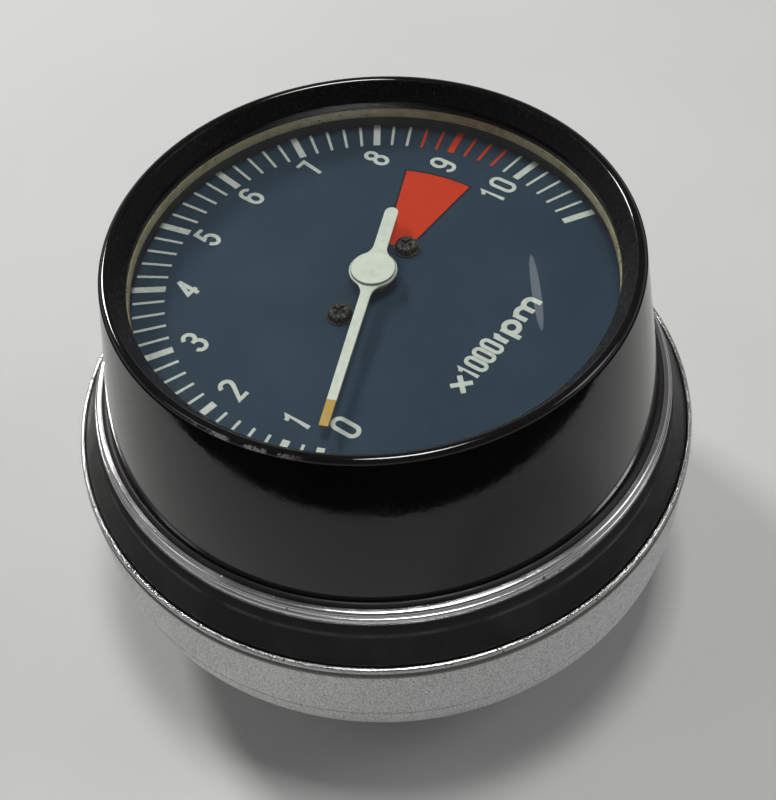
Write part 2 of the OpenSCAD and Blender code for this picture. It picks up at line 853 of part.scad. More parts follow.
// Spring clip in the spindle's groove, under the lower bush
module retaining_ring() {
    mouth_w = 2;
    color([0.3, 0.3, 0.32])
        difference() {
            tube(
                bush_r, spindle_r - groove_depth + seat_gap,
                ring_z + seat_gap, ring_z + groove_h - seat_gap
            );
            translate([0, -mouth_w / 2, ring_z - cut]) cube([2 * bush_r, mouth_w, groove_h + 2 * cut]);
        }
}

// Ferrule: threaded end for the cable's nut, socket, collar under the can and shank into the frame
module cable_ferrule() {
    chamfer = 0.5;
    neck = 0.7;
    bore = bush_r + seat_gap;
    color([0.68, 0.66, 0.6])
        turned([
            [socket_r + chamfer, 0], [thread_r - chamfer, 0], [thread_r, chamfer],
            [thread_r, thread_h], [thread_r - neck, thread_h + neck],
            [thread_r - neck, thread_h + 2 * neck], [body_r, thread_h + 2 * neck],
            [body_r, can_floor_z - collar_h], [collar_r, can_floor_z - collar_h],
            [collar_r, can_floor_z], [shank_r, can_floor_z], [shank_r, can_inner_z + shank_h],
            [bore, can_inner_z + shank_h], [bore, socket_h], [socket_r, socket_h], [socket_r, chamfer]
        ]);
}

// A rubber grommet in the cup's floor, with a groove that holds the sheet
module floor_grommet(bore, hole_r, lip_w, lip_h) {
    turned([
        [bore, cup_floor_z - lip_h], [hole_r + lip_w, cup_floor_z - lip_h],
        [hole_r + lip_w, cup_floor_z - rubber_gap / 2], [hole_r - rubber_gap, cup_floor_z - rubber_gap / 2],
        [hole_r - rubber_gap, cup_inner_z + rubber_gap / 2], [hole_r + lip_w, cup_inner_z + rubber_gap / 2],
        [hole_r + lip_w, cup_inner_z + lip_h], [bore, cup_inner_z + lip_h]
    ]);
}

ferrule_hole_r = body_r + 2;

module ferrule_grommet() {
    color([0.08, 0.08, 0.08]) floor_grommet(body_r + rubber_gap, ferrule_hole_r, 2, 1.2);
}

wire_hole_r = wire_r + 1.6;

module wire_grommet() {
    color([0.08, 0.08, 0.08])
        translate([0, wire_y, 0]) floor_grommet(wire_r, wire_hole_r, 1.4, 1.2);
}

// White pressed pan that stands on the can's flange and carries the dial's edge
module reflector_pan() {
    pan_t = 0.6;
    pan_foot_r = can_r + 2 * rubber_gap;
    pan_wall_r = can_r - can_wall - play;
    shelf_w = 2;
    shelf_z = dial_under_z - 1.6;
    window_r = 5;
    color([0.92, 0.92, 0.9])
        difference() {
            turned([
                [pan_foot_r, can_top_z], [pan_foot_r, can_top_z + pan_t], [pan_wall_r, can_top_z + pan_t],
                [dial_r, shelf_z], [dial_r, dial_under_z], [dial_r - shelf_w, dial_under_z],
                [dial_r - shelf_w, dial_under_z - pan_t], [dial_r - pan_t, dial_under_z - pan_t],
                [dial_r - pan_t, shelf_z], [pan_wall_r - pan_t, can_top_z]
            ]);
            for (a = [0 : 45 : 315])
                rotate([0, 0, a])
                    translate([0, 0, (can_top_z + shelf_z) / 2])
                        rotate([0, 90, 0])
                            cylinder(r = window_r, h = can_r);
        }
}

// Pressed can behind the movement, with a flange under the crimp ring
module rear_can() {
    inner_corner = can_corner - can_wall;
    color([0.55, 0.56, 0.57])
        difference() {
            turned(concat(
                [[0, can_floor_z]],
                arc([can_r - can_corner, can_floor_z + can_corner], can_corner, -90, 0),
                [[can_r, seam_z], [can_flange_r, seam_z], [can_flange_r, can_top_z],
                    [can_r - can_wall, can_top_z]],
                arc([can_r - can_corner, can_floor_z + can_corner], inner_corner, 0, -90),
                [[0, can_inner_z]]
            ));
            bar(shank_r + seat_gap, can_floor_z - cut, can_inner_z + cut);
            around(frame_screw_angles, frame_screw_ring_r)
                bar(frame_screw_r + 0.2, can_floor_z - cut, can_inner_z + cut);
            at_places(stud_places) bar(stud_shank_r + seat_gap, can_floor_z - cut, can_inner_z + cut);
            at_places(lamp_places) bar(lamp_body_r + seat_gap, can_floor_z - cut, can_inner_z + cut);
        }
}

// Rubber channel on the hood's flange, with the wedge that shows above the crimp ring
module case_seal() {
    wedge_z = hood_flange_z + seal_rise;
    leg_w = 1.3;
    leg_r = hood_flange_r - leg_w;
    color([0.1, 0.07, 0.07])
        turned([
            [hood_foot_r + seat_gap, hood_flange_z], [hood_r_at(wedge_z) + seat_gap, wedge_z],
            [hood_r_at(wedge_z) + seal_top_w, wedge_z], [ring_edge_r - run_gap, ring_top_z],
            [ring_edge_r - run_gap, ring_inner_z], [seal_r, ring_inner_z], [seal_r, can_top_z],
            [leg_r, can_top_z], [leg_r, hood_z], [hood_flange_r + seat_gap, hood_z],
            [hood_flange_r + seat_gap, hood_flange_z]
        ]);
}

// Chrome ring rolled over both flanges: fat bead on top, thin lip outside, curled under the can
module crimp_ring() {
    bead_mid = [ring_inner_r + ring_t - ring_bead_r, ring_top_z - ring_bead_r];
    edge_round = 0.3;
    lip_top_z = ring_top_z - ring_bead_r - 0.25;
    lower_z = seam_z - ring_t;
    lower_r = can_flange_r - ring_lower_w;
    color([0.85, 0.86, 0.87])
        turned(concat(
            [[ring_edge_r, ring_inner_z], [ring_edge_r, ring_top_z - 0.1], [ring_edge_r + 0.1, ring_top_z]],
            arc(bead_mid, ring_bead_r, 90, 0, 8),
            arc([ring_r - edge_round, lip_top_z - edge_round], edge_round, 90, 0, 4),
            arc([ring_r - ring_t, lower_z + ring_t], ring_t, 0, -90, 4),
            [[lower_r, lower_z], [lower_r, seam_z], [ring_r - ring_t, seam_z]],
            [[ring_r - ring_t, can_top_z + run_gap], [ring_inner_r, can_top_z + seal_leg],
                [ring_inner_r, ring_inner_z]]
        ));
}

// Rubber cushion: a sleeve round the can, a sloping top and a skirt that hooks under the bead
module cushion_ring() {
    top_z = seam_z - ring_t - run_gap;
    top_r = ring_r - ring_reach;
    knee = [top_r + cushion_top_w, top_z - cushion_top_h];
    skirt_z = lip_z - skirt_h;
    hook_top_z = bead_z - bead_r - rubber_gap;
    sleeve_r = can_r + rubber_gap;
    sleeve_lift = 2;
    hook_w = 1.2;
    hook_slope = 0.9;
    color([0.12, 0.1, 0.09])
        turned([
            [sleeve_r, top_z], [top_r, top_z], knee, [cushion_r, lip_z],
            [cushion_r, hook_top_z], [cushion_r + hook_w, hook_top_z - hook_slope],
            [cushion_r + hook_w - rubber_gap, hook_top_z - hook_slope - ring_reach],
            [cushion_r - play, skirt_z],
            [cushion_r - cushion_t, skirt_z], [cushion_r - cushion_t, lip_z - 2 * play],
            [knee[0] - cushion_t, knee[1] - cushion_t], [sleeve_r + cushion_t, knee[1] - cushion_t],
            [sleeve_r + cushion_t, skirt_z + sleeve_lift], [sleeve_r, skirt_z + sleeve_lift]
        ]);
}

// Chrome cup with a rolled bead on its lip, a pressed line and a round corner
module lower_cup() {
    shoulder = cup_wall;
    shoulder_z = bead_z - bead_r / 2 - shoulder;
    line_half = 0.25;
    corner_mid = [cup_r - cup_corner, cup_floor_z + cup_corner];
    color([0.72, 0.74, 0.74])
        difference() {
            rotate_extrude() {
                polygon(concat(
                    [[0, cup_floor_z]],
                    arc(corner_mid, cup_corner, -90, 0, 12),
                    [[cup_r, line_z - line_half], [cup_r - line_depth, line_z],
                        [cup_r, line_z + line_half]],
                    arc([cup_r - shoulder, shoulder_z], shoulder, 0, 90),
                    [[bead_mid_r, bead_z], [bead_mid_r + 0.3, bead_z - bead_r + 0.1],
                        [cup_r - cup_wall, shoulder_z - 0.2]],
                    arc(corner_mid, cup_corner - cup_wall, 0, -90, 12),
                    [[0, cup_inner_z]]
                ));
                translate([bead_mid_r, bead_z]) circle(r = bead_r);
            }
            bar(ferrule_hole_r, cup_floor_z - cut, cup_inner_z + cut);
            at_places(stud_places) bar(damper_neck_r + rubber_gap, cup_floor_z - cut, cup_inner_z + cut);
            translate([0, wire_y, 0]) bar(wire_hole_r, cup_floor_z - cut, cup_inner_z + cut);
        }
}

// Studs with flat heads inside the can
module mounting_studs() {
    chamfer = 0.5;
    color([0.6, 0.62, 0.64])
        at_places(stud_places)
            turned([
                [0, 0], [stud_r - chamfer, 0], [stud_r, chamfer], [stud_r, nut_z],
                [stud_shank_r, nut_z], [stud_shank_r, can_inner_z],
                [stud_head_r, can_inner_z], [stud_head_r, can_inner_z + stud_head_h],
                [0, can_inner_z + stud_head_h]
            ]);
}

// Rubber dampers: a spool through the cup's floor that carries the can
module stud_dampers() {
    color([0.08, 0.08, 0.08])
        at_places(stud_places)
            turned([
                [stud_shank_r + rubber_gap, cup_floor_z - damper_h], [damper_r, cup_floor_z - damper_h],
                [damper_r, cup_floor_z], [damper_neck_r, cup_floor_z],
                [damper_neck_r, cup_inner_z], [damper_r, cup_inner_z],
                [damper_r, can_floor_z], [stud_shank_r + rubber_gap, can_floor_z]
            ]);
}

module stud_washers() {
    washer_step = 0.8;
    color([0.6, 0.62, 0.64])
        at_places(stud_places)
            tube(damper_r - washer_step, stud_r + 2 * rubber_gap, washer_z, washer_z + washer_t);
}

module stud_nuts() {
    color([0.6, 0.62, 0.64])
        at_places(stud_places)
            translate([0, 0, nut_z])
                difference() {
                    cylinder(r = nut_w / 2 / cos(30), h = nut_h, $fn = 6);
                    translate([0, 0, -cut]) cylinder(r = stud_shank_r + seat_gap, h = nut_h + 2 * cut);
                }
}

// Lamp holders, pushed up through the can's floor
module lamp_holders() {
    cavity_r = bulb_r - cap_step;
    flange_t = 1.2;
    neck_r = lamp_body_r - 0.8;
    color([0.15, 0.15, 0.15])
        at_places(lamp_places)
            turned([
                [0, can_floor_z - lamp_drop], [neck_r, can_floor_z - lamp_drop],
                [neck_r, can_floor_z - flange_t], [lamp_flange_r, can_floor_z - flange_t],
                [lamp_flange_r, can_floor_z], [lamp_body_r, can_floor_z],
                [lamp_body_r, can_inner_z + lamp_rise], [cavity_r + seat_gap, can_inner_z + lamp_rise],
                [cavity_r + seat_gap, can_inner_z], [0, can_inner_z]
            ]);
}

// Glass bulbs on metal caps
module lamp_bulbs() {
    cap_r = bulb_r - cap_step;
    cap_rise = 2;
    holder_z = can_inner_z + lamp_rise;
    globe_z = holder_z + bulb_h - bulb_r;
    color([0.85, 0.85, 0.8, 0.6])
        at_places(lamp_places)
            turned(concat(
                [[0, can_inner_z], [cap_r, can_inner_z], [cap_r, holder_z + cap_rise]],
                arc([0, globe_z], bulb_r, 0, 90)
            ));
}

hood();
lens();
lens_gasket();
light_ring();
dial_plate();
scale_marks();
redline_marks();
dial_screws();
pointer_blade();
pointer_cap();
pointer_hub();
pointer_staff();
hair_collet();
hairspring();
spring_stud();
stop_posts();
staff_bush();
upper_bridge();
bridge_screws();
drag_cup();
magnet();
magnet_hub();
flux_ring();
movement_frame();
frame_screws();
thrust_washer();
upper_bush();
lower_bush();
drive_spindle();
retaining_ring();
cable_ferrule();
ferrule_grommet();
reflector_pan();
rear_can();
case_seal();
crimp_ring();
cushion_ring();
lower_cup();
mounting_studs();
stud_dampers();
stud_washers();
stud_nuts();
lamp_holders();
lamp_bulbs();
wire_grommet();
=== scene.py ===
"""Looks of a motorcycle tachometer that lies on its back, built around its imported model."""

import math
from collections import namedtuple

import bmesh
import bpy
from bpy.props import FloatProperty, FloatVectorProperty, PointerProperty
from mathutils import Matrix, Vector
from mathutils.geometry import delaunay_2d_cdt


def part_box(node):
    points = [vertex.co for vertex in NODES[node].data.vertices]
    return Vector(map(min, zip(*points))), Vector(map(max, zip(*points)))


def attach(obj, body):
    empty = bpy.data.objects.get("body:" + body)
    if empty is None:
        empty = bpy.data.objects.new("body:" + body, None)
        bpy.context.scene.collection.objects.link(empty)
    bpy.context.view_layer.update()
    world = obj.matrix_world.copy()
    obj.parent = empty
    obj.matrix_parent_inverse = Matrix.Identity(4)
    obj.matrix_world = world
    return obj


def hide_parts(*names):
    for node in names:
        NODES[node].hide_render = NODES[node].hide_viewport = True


bl_info = {
    "name": "Motorcycle Tachometer Looks",
    "version": (1, 0, 0),
    "blender": (4, 5, 0),
    "location": "View3D > Sidebar > Tachometer",
    "description": "Finishes, printed dial, threads and studio for a motorcycle tachometer",
    "category": "Object",
}

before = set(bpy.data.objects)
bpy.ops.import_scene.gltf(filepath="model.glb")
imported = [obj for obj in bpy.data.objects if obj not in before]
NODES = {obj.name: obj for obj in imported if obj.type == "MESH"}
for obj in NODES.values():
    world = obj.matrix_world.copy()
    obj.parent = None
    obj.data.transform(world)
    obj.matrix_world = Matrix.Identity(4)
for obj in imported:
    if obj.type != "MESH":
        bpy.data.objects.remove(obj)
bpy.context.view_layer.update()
MM = 0.001

# Edges sharper than this many degrees stay crisp, and the shells are turned finer than small parts
SHARP_ANGLE = 40
SHELL_SEGMENTS, SMALL_SEGMENTS = 288, 64

# Places on the instrument, in millimetres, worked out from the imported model
DIAL_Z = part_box("dial_plate")[1].z / MM
CUP_FLOOR_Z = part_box("lower_cup")[0].z / MM
FERRULE_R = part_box("cable_ferrule")[1].x / MM
FERRULE_TOP_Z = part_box("cable_ferrule")[1].z / MM
STUD_HEAD_R = 4.6
STUD_X = (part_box("mounting_studs")[1].x / MM) - STUD_HEAD_R
STUD_Y = (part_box("mounting_studs")[0].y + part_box("mounting_studs")[1].y) / 2 / MM
NUT_LOW_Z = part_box("stud_nuts")[0].z / MM
NUT_TOP_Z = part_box("stud_nuts")[1].z / MM

# The turned shells, in millimetres: the outline that the camera sees, over the plain solids
FOLD_R, FOLD_Z, FOLD_ROUND = 42.9, 77.95, 1.1
HOOD_FOOT_R, HOOD_FOOT_Z = 49.4, 48.75
HOOD_WALL = 0.8
HOOD_TILT, LIP_TILT = 10.44, 32.89
LIP_END_R, LIP_END_Z = 40.2, 75.8
CROWN_Z = FOLD_Z + FOLD_ROUND
RING_TOP_Z, SEAM_Z = 49.4, 47.0
CUSHION_R, CUSHION_TOP_Z, CUSHION_LOW_Z = 55.25, 46.55, 35.1
CUP_R, CUP_CORNER, CUP_WALL = 56.45, 12.0, 1.0
BEAD_R, BEAD_Z, BEAD_ROUND = 55.85, 39.8, 0.5
BEAD_TOP_Z = BEAD_Z + BEAD_ROUND
CUP_LINE_Z = 25.0
SEAT_R, SEAT_LOW_Z = 40.35, 73.25
LIGHT_RING_R, LIGHT_RING_OUTER_R, LIGHT_RING_LOW_Z = 40.2, 42.8, 71.4

# Dust that has settled on enamel and rubber
DUST_TONE = (0.10, 0.095, 0.08)


class TachoFinish(bpy.types.PropertyGroup):
    """Colours and gloss of the visible surfaces."""

    enamel: FloatVectorProperty(
        name="Hood enamel", description="Colour of the hood's gloss enamel",
        subtype="COLOR", size=3, min=0, max=1, default=(0.0030, 0.0030, 0.0034),
    )
    enamel_roughness: FloatProperty(
        name="Enamel roughness", description="Roughness of the clean enamel",
        min=0, max=1, default=0.05,
    )
    # Partly rubbed-through enamel, partly a painted highlight on the rim's fold
    rim_wear: FloatProperty(
        name="Rim wear", description="How far the enamel is rubbed through on the rim",
        min=0, max=1, default=0.6,
    )
    chrome: FloatVectorProperty(
        name="Chrome", description="Colour of the crimp ring's chrome",
        subtype="COLOR", size=3, min=0, max=1, default=(0.62, 0.63, 0.63),
    )
    hazy_chrome: FloatVectorProperty(
        name="Hazy chrome", description="Colour of the cup's dull chrome",
        subtype="COLOR", size=3, min=0, max=1, default=(0.70, 0.71, 0.70),
    )
    pitting: FloatProperty(
        name="Pitting", description="Share of the cup that is pitted", min=0, max=1, default=0.5,
    )
    rubber: FloatVectorProperty(
        name="Rubber", description="Colour of the aged black rubber",
        subtype="COLOR", size=3, min=0, max=1, default=(0.0085, 0.0085, 0.008),
    )
    dial: FloatVectorProperty(
        name="Dial", description="Colour of the dial's slate blue paint",
        subtype="COLOR", size=3, min=0, max=1, default=(0.0155, 0.033, 0.053),
    )
    cream: FloatVectorProperty(
        name="Print", description="Colour of the scale's cream print",
        subtype="COLOR", size=3, min=0, max=1, default=(0.66, 0.69, 0.63),
    )
    red: FloatVectorProperty(
        name="Red print", description="Colour of the red sector and marks",
        subtype="COLOR", size=3, min=0, max=1, default=(0.60, 0.040, 0.007),
    )
    pointer: FloatVectorProperty(
        name="Pointer", description="Colour of the pointer's paint",
        subtype="COLOR", size=3, min=0, max=1, default=(0.66, 0.70, 0.61),
    )
    tip: FloatVectorProperty(
        name="Pointer tip", description="Colour of the pointer's tip",
        subtype="COLOR", size=3, min=0, max=1, default=(0.46, 0.27, 0.018),
    )


class TachoPrint(bpy.types.PropertyGroup):
    """Sizes of the printed numbers and of the unit legend."""

    number_height: FloatProperty(
        name="Number height", description="Height of the scale's numbers in millimetres",
        min=2, max=8, default=5.2,
    )
    number_width: FloatProperty(
        name="Number width", description="Width of the scale's numbers in millimetres",
        min=1, max=5, default=2.7,
    )
    number_stroke: FloatProperty(
        name="Number stroke", description="Stroke width of the numbers in millimetres",
        min=0.2, max=1.2, default=0.72,
    )
    number_ring: FloatProperty(
        name="Number ring",
        description="Radius of the circle that the numbers stand on, in millimetres",
        min=20, max=36, default=31.35,
    )
    step: FloatProperty(
        name="Step", description="Angle between two numbers in degrees",
        min=15, max=25, default=22.7,
    )
    middle: FloatProperty(
        name="Middle", description="Scale value that stands at 12 o'clock",
        min=4, max=7, default=5.62,
    )
    legend_base: FloatProperty(
        name="Legend base",
        description="Height of the legend's base line on the dial in millimetres",
        min=-36, max=-10, default=-26.2,
    )


class TachoStudio(bpy.types.PropertyGroup):
    """Camera, lamps and floor."""

    camera_place: FloatVectorProperty(
        name="Camera place", description="Place of the camera in millimetres",
        size=3, default=(-105.14, -88.98, 209.63),
    )
    camera_right: FloatVectorProperty(
        name="Camera right", description="Direction of the picture's right side",
        size=3, default=(0.59296, -0.80374, -0.04895),
    )
    camera_up: FloatVectorProperty(
        name="Camera up", description="Direction of the picture's top",
        size=3, default=(0.64662, 0.43906, 0.62379),
    )
    lens: FloatProperty(
        name="Lens", description="Focal length on a 36 mm sensor",
        subtype="DISTANCE_CAMERA", default=52.72,
    )
    floor: FloatVectorProperty(
        name="Floor", description="Colour of the pale floor",
        subtype="COLOR", size=3, min=0, max=1, default=(0.60, 0.60, 0.59),
    )
    key_power: FloatProperty(
        name="Key lamp", description="Power of the key lamp in watts",
        subtype="POWER", min=0, default=5.0,
    )
    ceiling_power: FloatProperty(
        name="Ceiling lamp", description="Power of the lamp overhead in watts",
        subtype="POWER", min=0, default=6.8,
    )
    fill_power: FloatProperty(
        name="Fill lamp", description="Power of the soft lamp on the right in watts",
        subtype="POWER",
        min=0, default=1.7,
    )
    horizon: FloatProperty(
        name="Horizon", description="Brightness of the surroundings near the floor",
        min=0, max=1, default=0.5,
    )
    sky: FloatProperty(
        name="Ceiling", description="Brightness of the surroundings higher up",
        min=0, max=1, default=0.11,
    )
    backdrop: FloatProperty(
        name="Backdrop", description="Brightness of the backdrop behind the floor",
        min=0, max=1, default=0.56,
    )


# Mesh building


def ring_of(radius, height, segments):
    """One ring of points round the instrument's axis."""
    angles = [2 * math.pi * i / segments for i in range(segments)]
    return [(radius * math.cos(angle), radius * math.sin(angle), height) for angle in angles]


def outward_mesh(name, points, faces):
    """A mesh from points in millimetres, with its faces turned outwards."""
    mesh = bpy.data.meshes.new(name)
    mesh.from_pydata([Vector(p) * MM for p in points], [], faces)
    mesh.validate()
    bm = bmesh.new()
    bm.from_mesh(mesh)
    bmesh.ops.recalc_face_normals(bm, faces=bm.faces)
    bm.to_mesh(mesh)
    bm.free()
    return mesh


def linked(name, data):
    """A new object in the scene, made from its data."""
    made = bpy.data.objects.new(name, data)
    bpy.context.scene.collection.objects.link(made)
    return made


def shade_softly(mesh):
    """Shades a mesh smooth, apart from its sharp edges."""
    mesh.shade_smooth()
    mesh.set_sharp_from_angle(angle=math.radians(SHARP_ANGLE))


def piece_from(name, points, faces, material, body="case"):
    """A smooth mesh piece from points in millimetres, which rides on a body."""
    mesh = outward_mesh(name, points, faces)
    mesh.materials.append(material)
    shade_softly(mesh)
    piece = linked(name, mesh)
    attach(piece, body)
    return piece


def loop_faces(rows, segments, first=0):
    """Faces between closed rows of points, the last row joined to the first."""
    faces = []
    for row in range(rows):
        nxt = (row + 1) % rows
        for i in range(segments):
            j = (i + 1) % segments
            faces.append((
                first + row * segments + i, first + row * segments + j,
                first + nxt * segments + j, first + nxt * segments + i,
            ))
    return faces


def wall_faces(segments):
    """Faces between two closed rows of points, open at both ends."""
    return loop_faces(2, segments)[:segments]


def turned_points(outline, segments, middle=(0, 0)):
    """Points of a ring turned from a closed outline of (radius, height)."""
    points = []
    for radius, height in outline:
        ring = ring_of(radius, height, segments)
        points += [(x + middle[0], y + middle[1], z) for x, y, z in ring]
    return points


def rounded(outline, radius, steps=5):
    """The outline with every corner rounded, or less where a side is short."""
    most_share = 0.48
    result = []
    count = len(outline)
    for i, corner in enumerate(outline):
        here = Vector(corner)
        before = Vector(outline[i - 1]) - here
        after = Vector(outline[(i + 1) % count]) - here
        half = before.angle(after) / 2
        reach = min(
            radius / math.tan(half), before.length * most_share, after.length * most_share,
        )
        start = here + before.normalized() * reach
        end = here + after.normalized() * reach
        for k in range(steps + 1):
            t = k / steps
            result.append(tuple((1 - t) ** 2 * start + 2 * t * (1 - t) * here + t ** 2 * end))
    return result


def piece_of_rings(name, rings, segments, material):
    """One piece of like rings, each given by the points of its closed rows."""
    points, faces = [], []
    for ring in rings:
        faces += loop_faces(len(ring) // segments, segments, len(points))
        points += ring
    return piece_from(name, points, faces, material)


def turned_piece(name, outline, material, segments=SHELL_SEGMENTS, places=((0, 0),)):
    """One piece of like rings, turned from one outline about one or more axes."""
    rings = [turned_points(outline, segments, place) for place in places]
    return piece_of_rings(name, rings, segments, material)


Thread = namedtuple("Thread", "outer depth pitch low high chamfer")


def thread_radius(thread, height, angle):
    """Radius of a screw thread's flank at a height and angle."""
    steepness, root_share = 1.25, 0.05
    phase = (height / thread.pitch - angle / (2 * math.pi)) % 1
    ridge = min(1, max(0, steepness * (1 - abs(2 * phase - 1)) - root_share))
    return thread.outer - thread.depth * (1 - ridge)


def threaded_rows(thread):
    """Heights of a thread's rows, each with the most that its radius may be."""
    rows_per_turn = 8
    length = thread.high - thread.low
    count = int(round(length / thread.pitch * rows_per_turn))
    rows = []
    for i in range(count + 1):
        height = thread.low + length * i / count
        rows.append((height, thread.outer - max(0, thread.chamfer - (height - thread.low))))
    return rows


def threaded_points(outline, thread, segments, middle=(0, 0)):
    """Points of a turned piece with a thread as its first rows."""
    points = []
    for height, most in threaded_rows(thread):
        for i in range(segments):
            angle = 2 * math.pi * i / segments
            radius = min(most, thread_radius(thread, height, angle))
            x, y = radius * math.cos(angle), radius * math.sin(angle)
            points.append((middle[0] + x, middle[1] + y, height))
    return points + turned_points(outline, segments, middle)


# Printed strokes


def bow(middle, radii, start, end, steps=12):
    """Points along an arc, from one angle in degrees to another."""
    points = []
    for i in range(steps + 1):
        angle = math.radians(start + (end - start) * i / steps)
        x, y = radii[0] * math.cos(angle), radii[1] * math.sin(angle)
        points.append((middle[0] + x, middle[1] + y))
    return points


def hoop(middle, radii):
    """A closed round stroke, without its doubled last point."""
    return bow(middle, radii, 0, 360, steps=28)[:-1]


def turned_over(strokes):
    """Strokes turned by half a turn inside their cell."""
    return [([(1 - x, 1 - y) for x, y in path], closed) for path, closed in strokes]


def digit_strokes(digit, end):
    """Centre lines of a digit in a cell of 1 by 1, where end is the height of a round end."""
    oval = bow((0.5, 1 - end), (0.5, end), 0, 180) + bow((0.5, end), (0.5, end), 180, 360)
    six = [
        (hoop((0.5, 0.29), (0.5, 0.29)), True),
        (bow((0.5, 1 - end), (0.5, end), 15, 180) + [(0, 0.29)], False),
    ]
    shapes = {
        "0": [(oval, True)],
        "1": [([(0.16, 0.85), (0.46, 0.88), (0.62, 1.0), (0.62, 0)], False)],
        "2": [
            (bow((0.5, 1 - end), (0.5, end), 172, -8) + [(0.9, 0.62), (0.08, 0), (1.0, 0)], False),
        ],
        "3": [
            (bow((0.48, 0.77), (0.46, 0.23), 165, -85) + [(0.3, 0.54)], False),
            (bow((0.5, 0.27), (0.5, 0.27), 85, -165), False),
        ],
        "4": [([(0.66, 1.0), (0.0, 0.25), (1.0, 0.25)], False), ([(0.66, 1.0), (0.66, 0)], False)],
        "5": [
            ([(0.93, 1.0), (0.12, 1.0), (0.07, 0.52)]
             + bow((0.5, 0.31), (0.5, 0.31), 132, -165), False),
        ],
        "6": six,
        "7": [([(0.0, 1.0), (0.96, 1.0), (0.6, 0)], False)],
        "8": [(hoop((0.5, 0.27), (0.5, 0.27)), True), (hoop((0.5, 0.77), (0.45, 0.23)), True)],
        "9": turned_over(six),
    }
    return shapes[digit]


LETTER_STROKES = {
    "x": [([(0, 1), (1, 0)], False), ([(0, 0), (1, 1)], False)],
    "r": [([(0, 1), (0, 0)], False), (bow((0.95, 0.45), (0.95, 0.55), 180, 92), False)],
    "p": [([(0, 1), (0, -0.5)], False), (hoop((0.5, 0.5), (0.5, 0.5)), True)],
    "m": [
        ([(0, 1), (0, 0)], False),
        (bow((0.25, 0.66), (0.25, 0.34), 180, 0) + [(0.5, 0)], False),
        (bow((0.75, 0.66), (0.25, 0.34), 180, 0) + [(1.0, 0)], False),
    ],
}


def placed(strokes, corner, width, height, stroke):
    """Strokes of a cell set on the dial, inside a box whose lower left corner is given."""
    inner_w, inner_h = width - stroke, height - stroke
    left, base = corner[0] + stroke / 2, corner[1] + stroke / 2
    result = []
    for path, closed in strokes:
        points = [Vector((left + x * inner_w, base + y * inner_h)) for x, y in path]
        result.append((points, stroke, closed))
    return result


def digit_on_dial(digit, middle, width, height, stroke):
    """Strokes of one digit round a middle point on the dial."""
    end = 0.5 * (width - stroke) / (height - stroke)
    corner = (middle[0] - width / 2, middle[1] - height / 2)
    return placed(digit_strokes(digit, end), corner, width, height, stroke)


def ribbon_sides(path, width, closed):
    """Left and right points beside a line of points, with mitred corners."""
    most_mitre = 1.7
    left, right = [], []
    count = len(path)
    for i, point in enumerate(path):
        before = point - path[i - 1] if closed or i > 0 else path[i + 1] - point
        after = path[(i + 1) % count] - point if closed or i < count - 1 else before
        tangent = (before.normalized() + after.normalized()).normalized()
        normal = Vector((-tangent.y, tangent.x))
        share = max(1 / most_mitre, normal.dot(Vector((-after.y, after.x)).normalized()))
        offset = normal * (width / 2 / share)
        left.append(point + offset)
        right.append(point - offset)
    return left, right


def wound(corners):
    """The corners in counter-clockwise order round their middle."""
    middle = sum(corners, Vector((0, 0))) / len(corners)
    return sorted(corners, key=lambda corner: math.atan2(corner.y - middle.y, corner.x - middle.x))


def ribbon_cells(path, width, closed):
    """Four-cornered cells that cover a stroke."""
    left, right = ribbon_sides(path, width, closed)
    count = len(path)
    cells = []
    for i in range(count if closed else count - 1):
        j = (i + 1) % count
        cells.append(wound([right[i], right[j], left[j], left[i]]))
    return cells


def covered(strokes):
    """Points and faces that cover all strokes once, flat, in millimetres."""
    inside_only, join_distance = 1, 1e-4
    corners, cells = [], []
    for path, width, closed in strokes:
        for cell in ribbon_cells(path, width, closed):
            cells.append(list(range(len(corners), len(corners) + 4)))
            corners += cell
    points, _, faces, _, _, sources = delaunay_2d_cdt(
        corners, [], cells, inside_only, join_distance,
    )
    return points, [face for face, source in zip(faces, sources) if source]


def printed_mesh(name, strokes, low_z, thickness):
    """A thin slab over all strokes."""
    points, faces = covered(strokes)
    bm = bmesh.new()
    made = [bm.verts.new((p.x * MM, p.y * MM, (low_z + thickness) * MM)) for p in points]
    for face in faces:
        bm.faces.new([made[i] for i in face])
    bmesh.ops.delete(bm, geom=[v for v in bm.verts if not v.link_faces], context="VERTS")
    raised = bmesh.ops.extrude_face_region(bm, geom=list(bm.faces), use_keep_orig=True)
    lowered = [v for v in raised["geom"] if isinstance(v, bmesh.types.BMVert)]
    bmesh.ops.translate(bm, verts=lowered, vec=(0, 0, -thickness * MM))
    bmesh.ops.recalc_face_normals(bm, faces=bm.faces)
    mesh = bpy.data.meshes.new(name)
    bm.to_mesh(mesh)
    bm.free()
    return mesh


def printed_piece(name, strokes, material, low_z, thickness):
    """A thin printed slab that lies on the dial."""
    mesh = printed_mesh(name, strokes, low_z, thickness)
    mesh.materials.append(material)
    piece = linked(name, mesh)
    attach(piece, "case")


# Shader groups


def group_named(name, inputs, outputs):
    """A new shader node group with named sockets, and its input and output nodes."""
    tree = bpy.data.node_groups.new(name, "ShaderNodeTree")
    for label, kind, value in inputs:
        socket = tree.interface.new_socket(label, in_out="INPUT", socket_type=kind)
        if value is not None:
            socket.default_value = value
    for label, kind in outputs:
        tree.interface.new_socket(label, in_out="OUTPUT", socket_type=kind)
    return tree, tree.nodes.new("NodeGroupInput"), tree.nodes.new("NodeGroupOutput")


def math_node(tree, operation, first, second=None, third=None):
    """A Math node fed by sockets or numbers, as its output socket."""
    node = tree.nodes.new("ShaderNodeMath")
    node.operation = operation
    for index, value in enumerate((first, second, third)):
        feed(tree, node.inputs[index], value)
    return node.outputs[0]


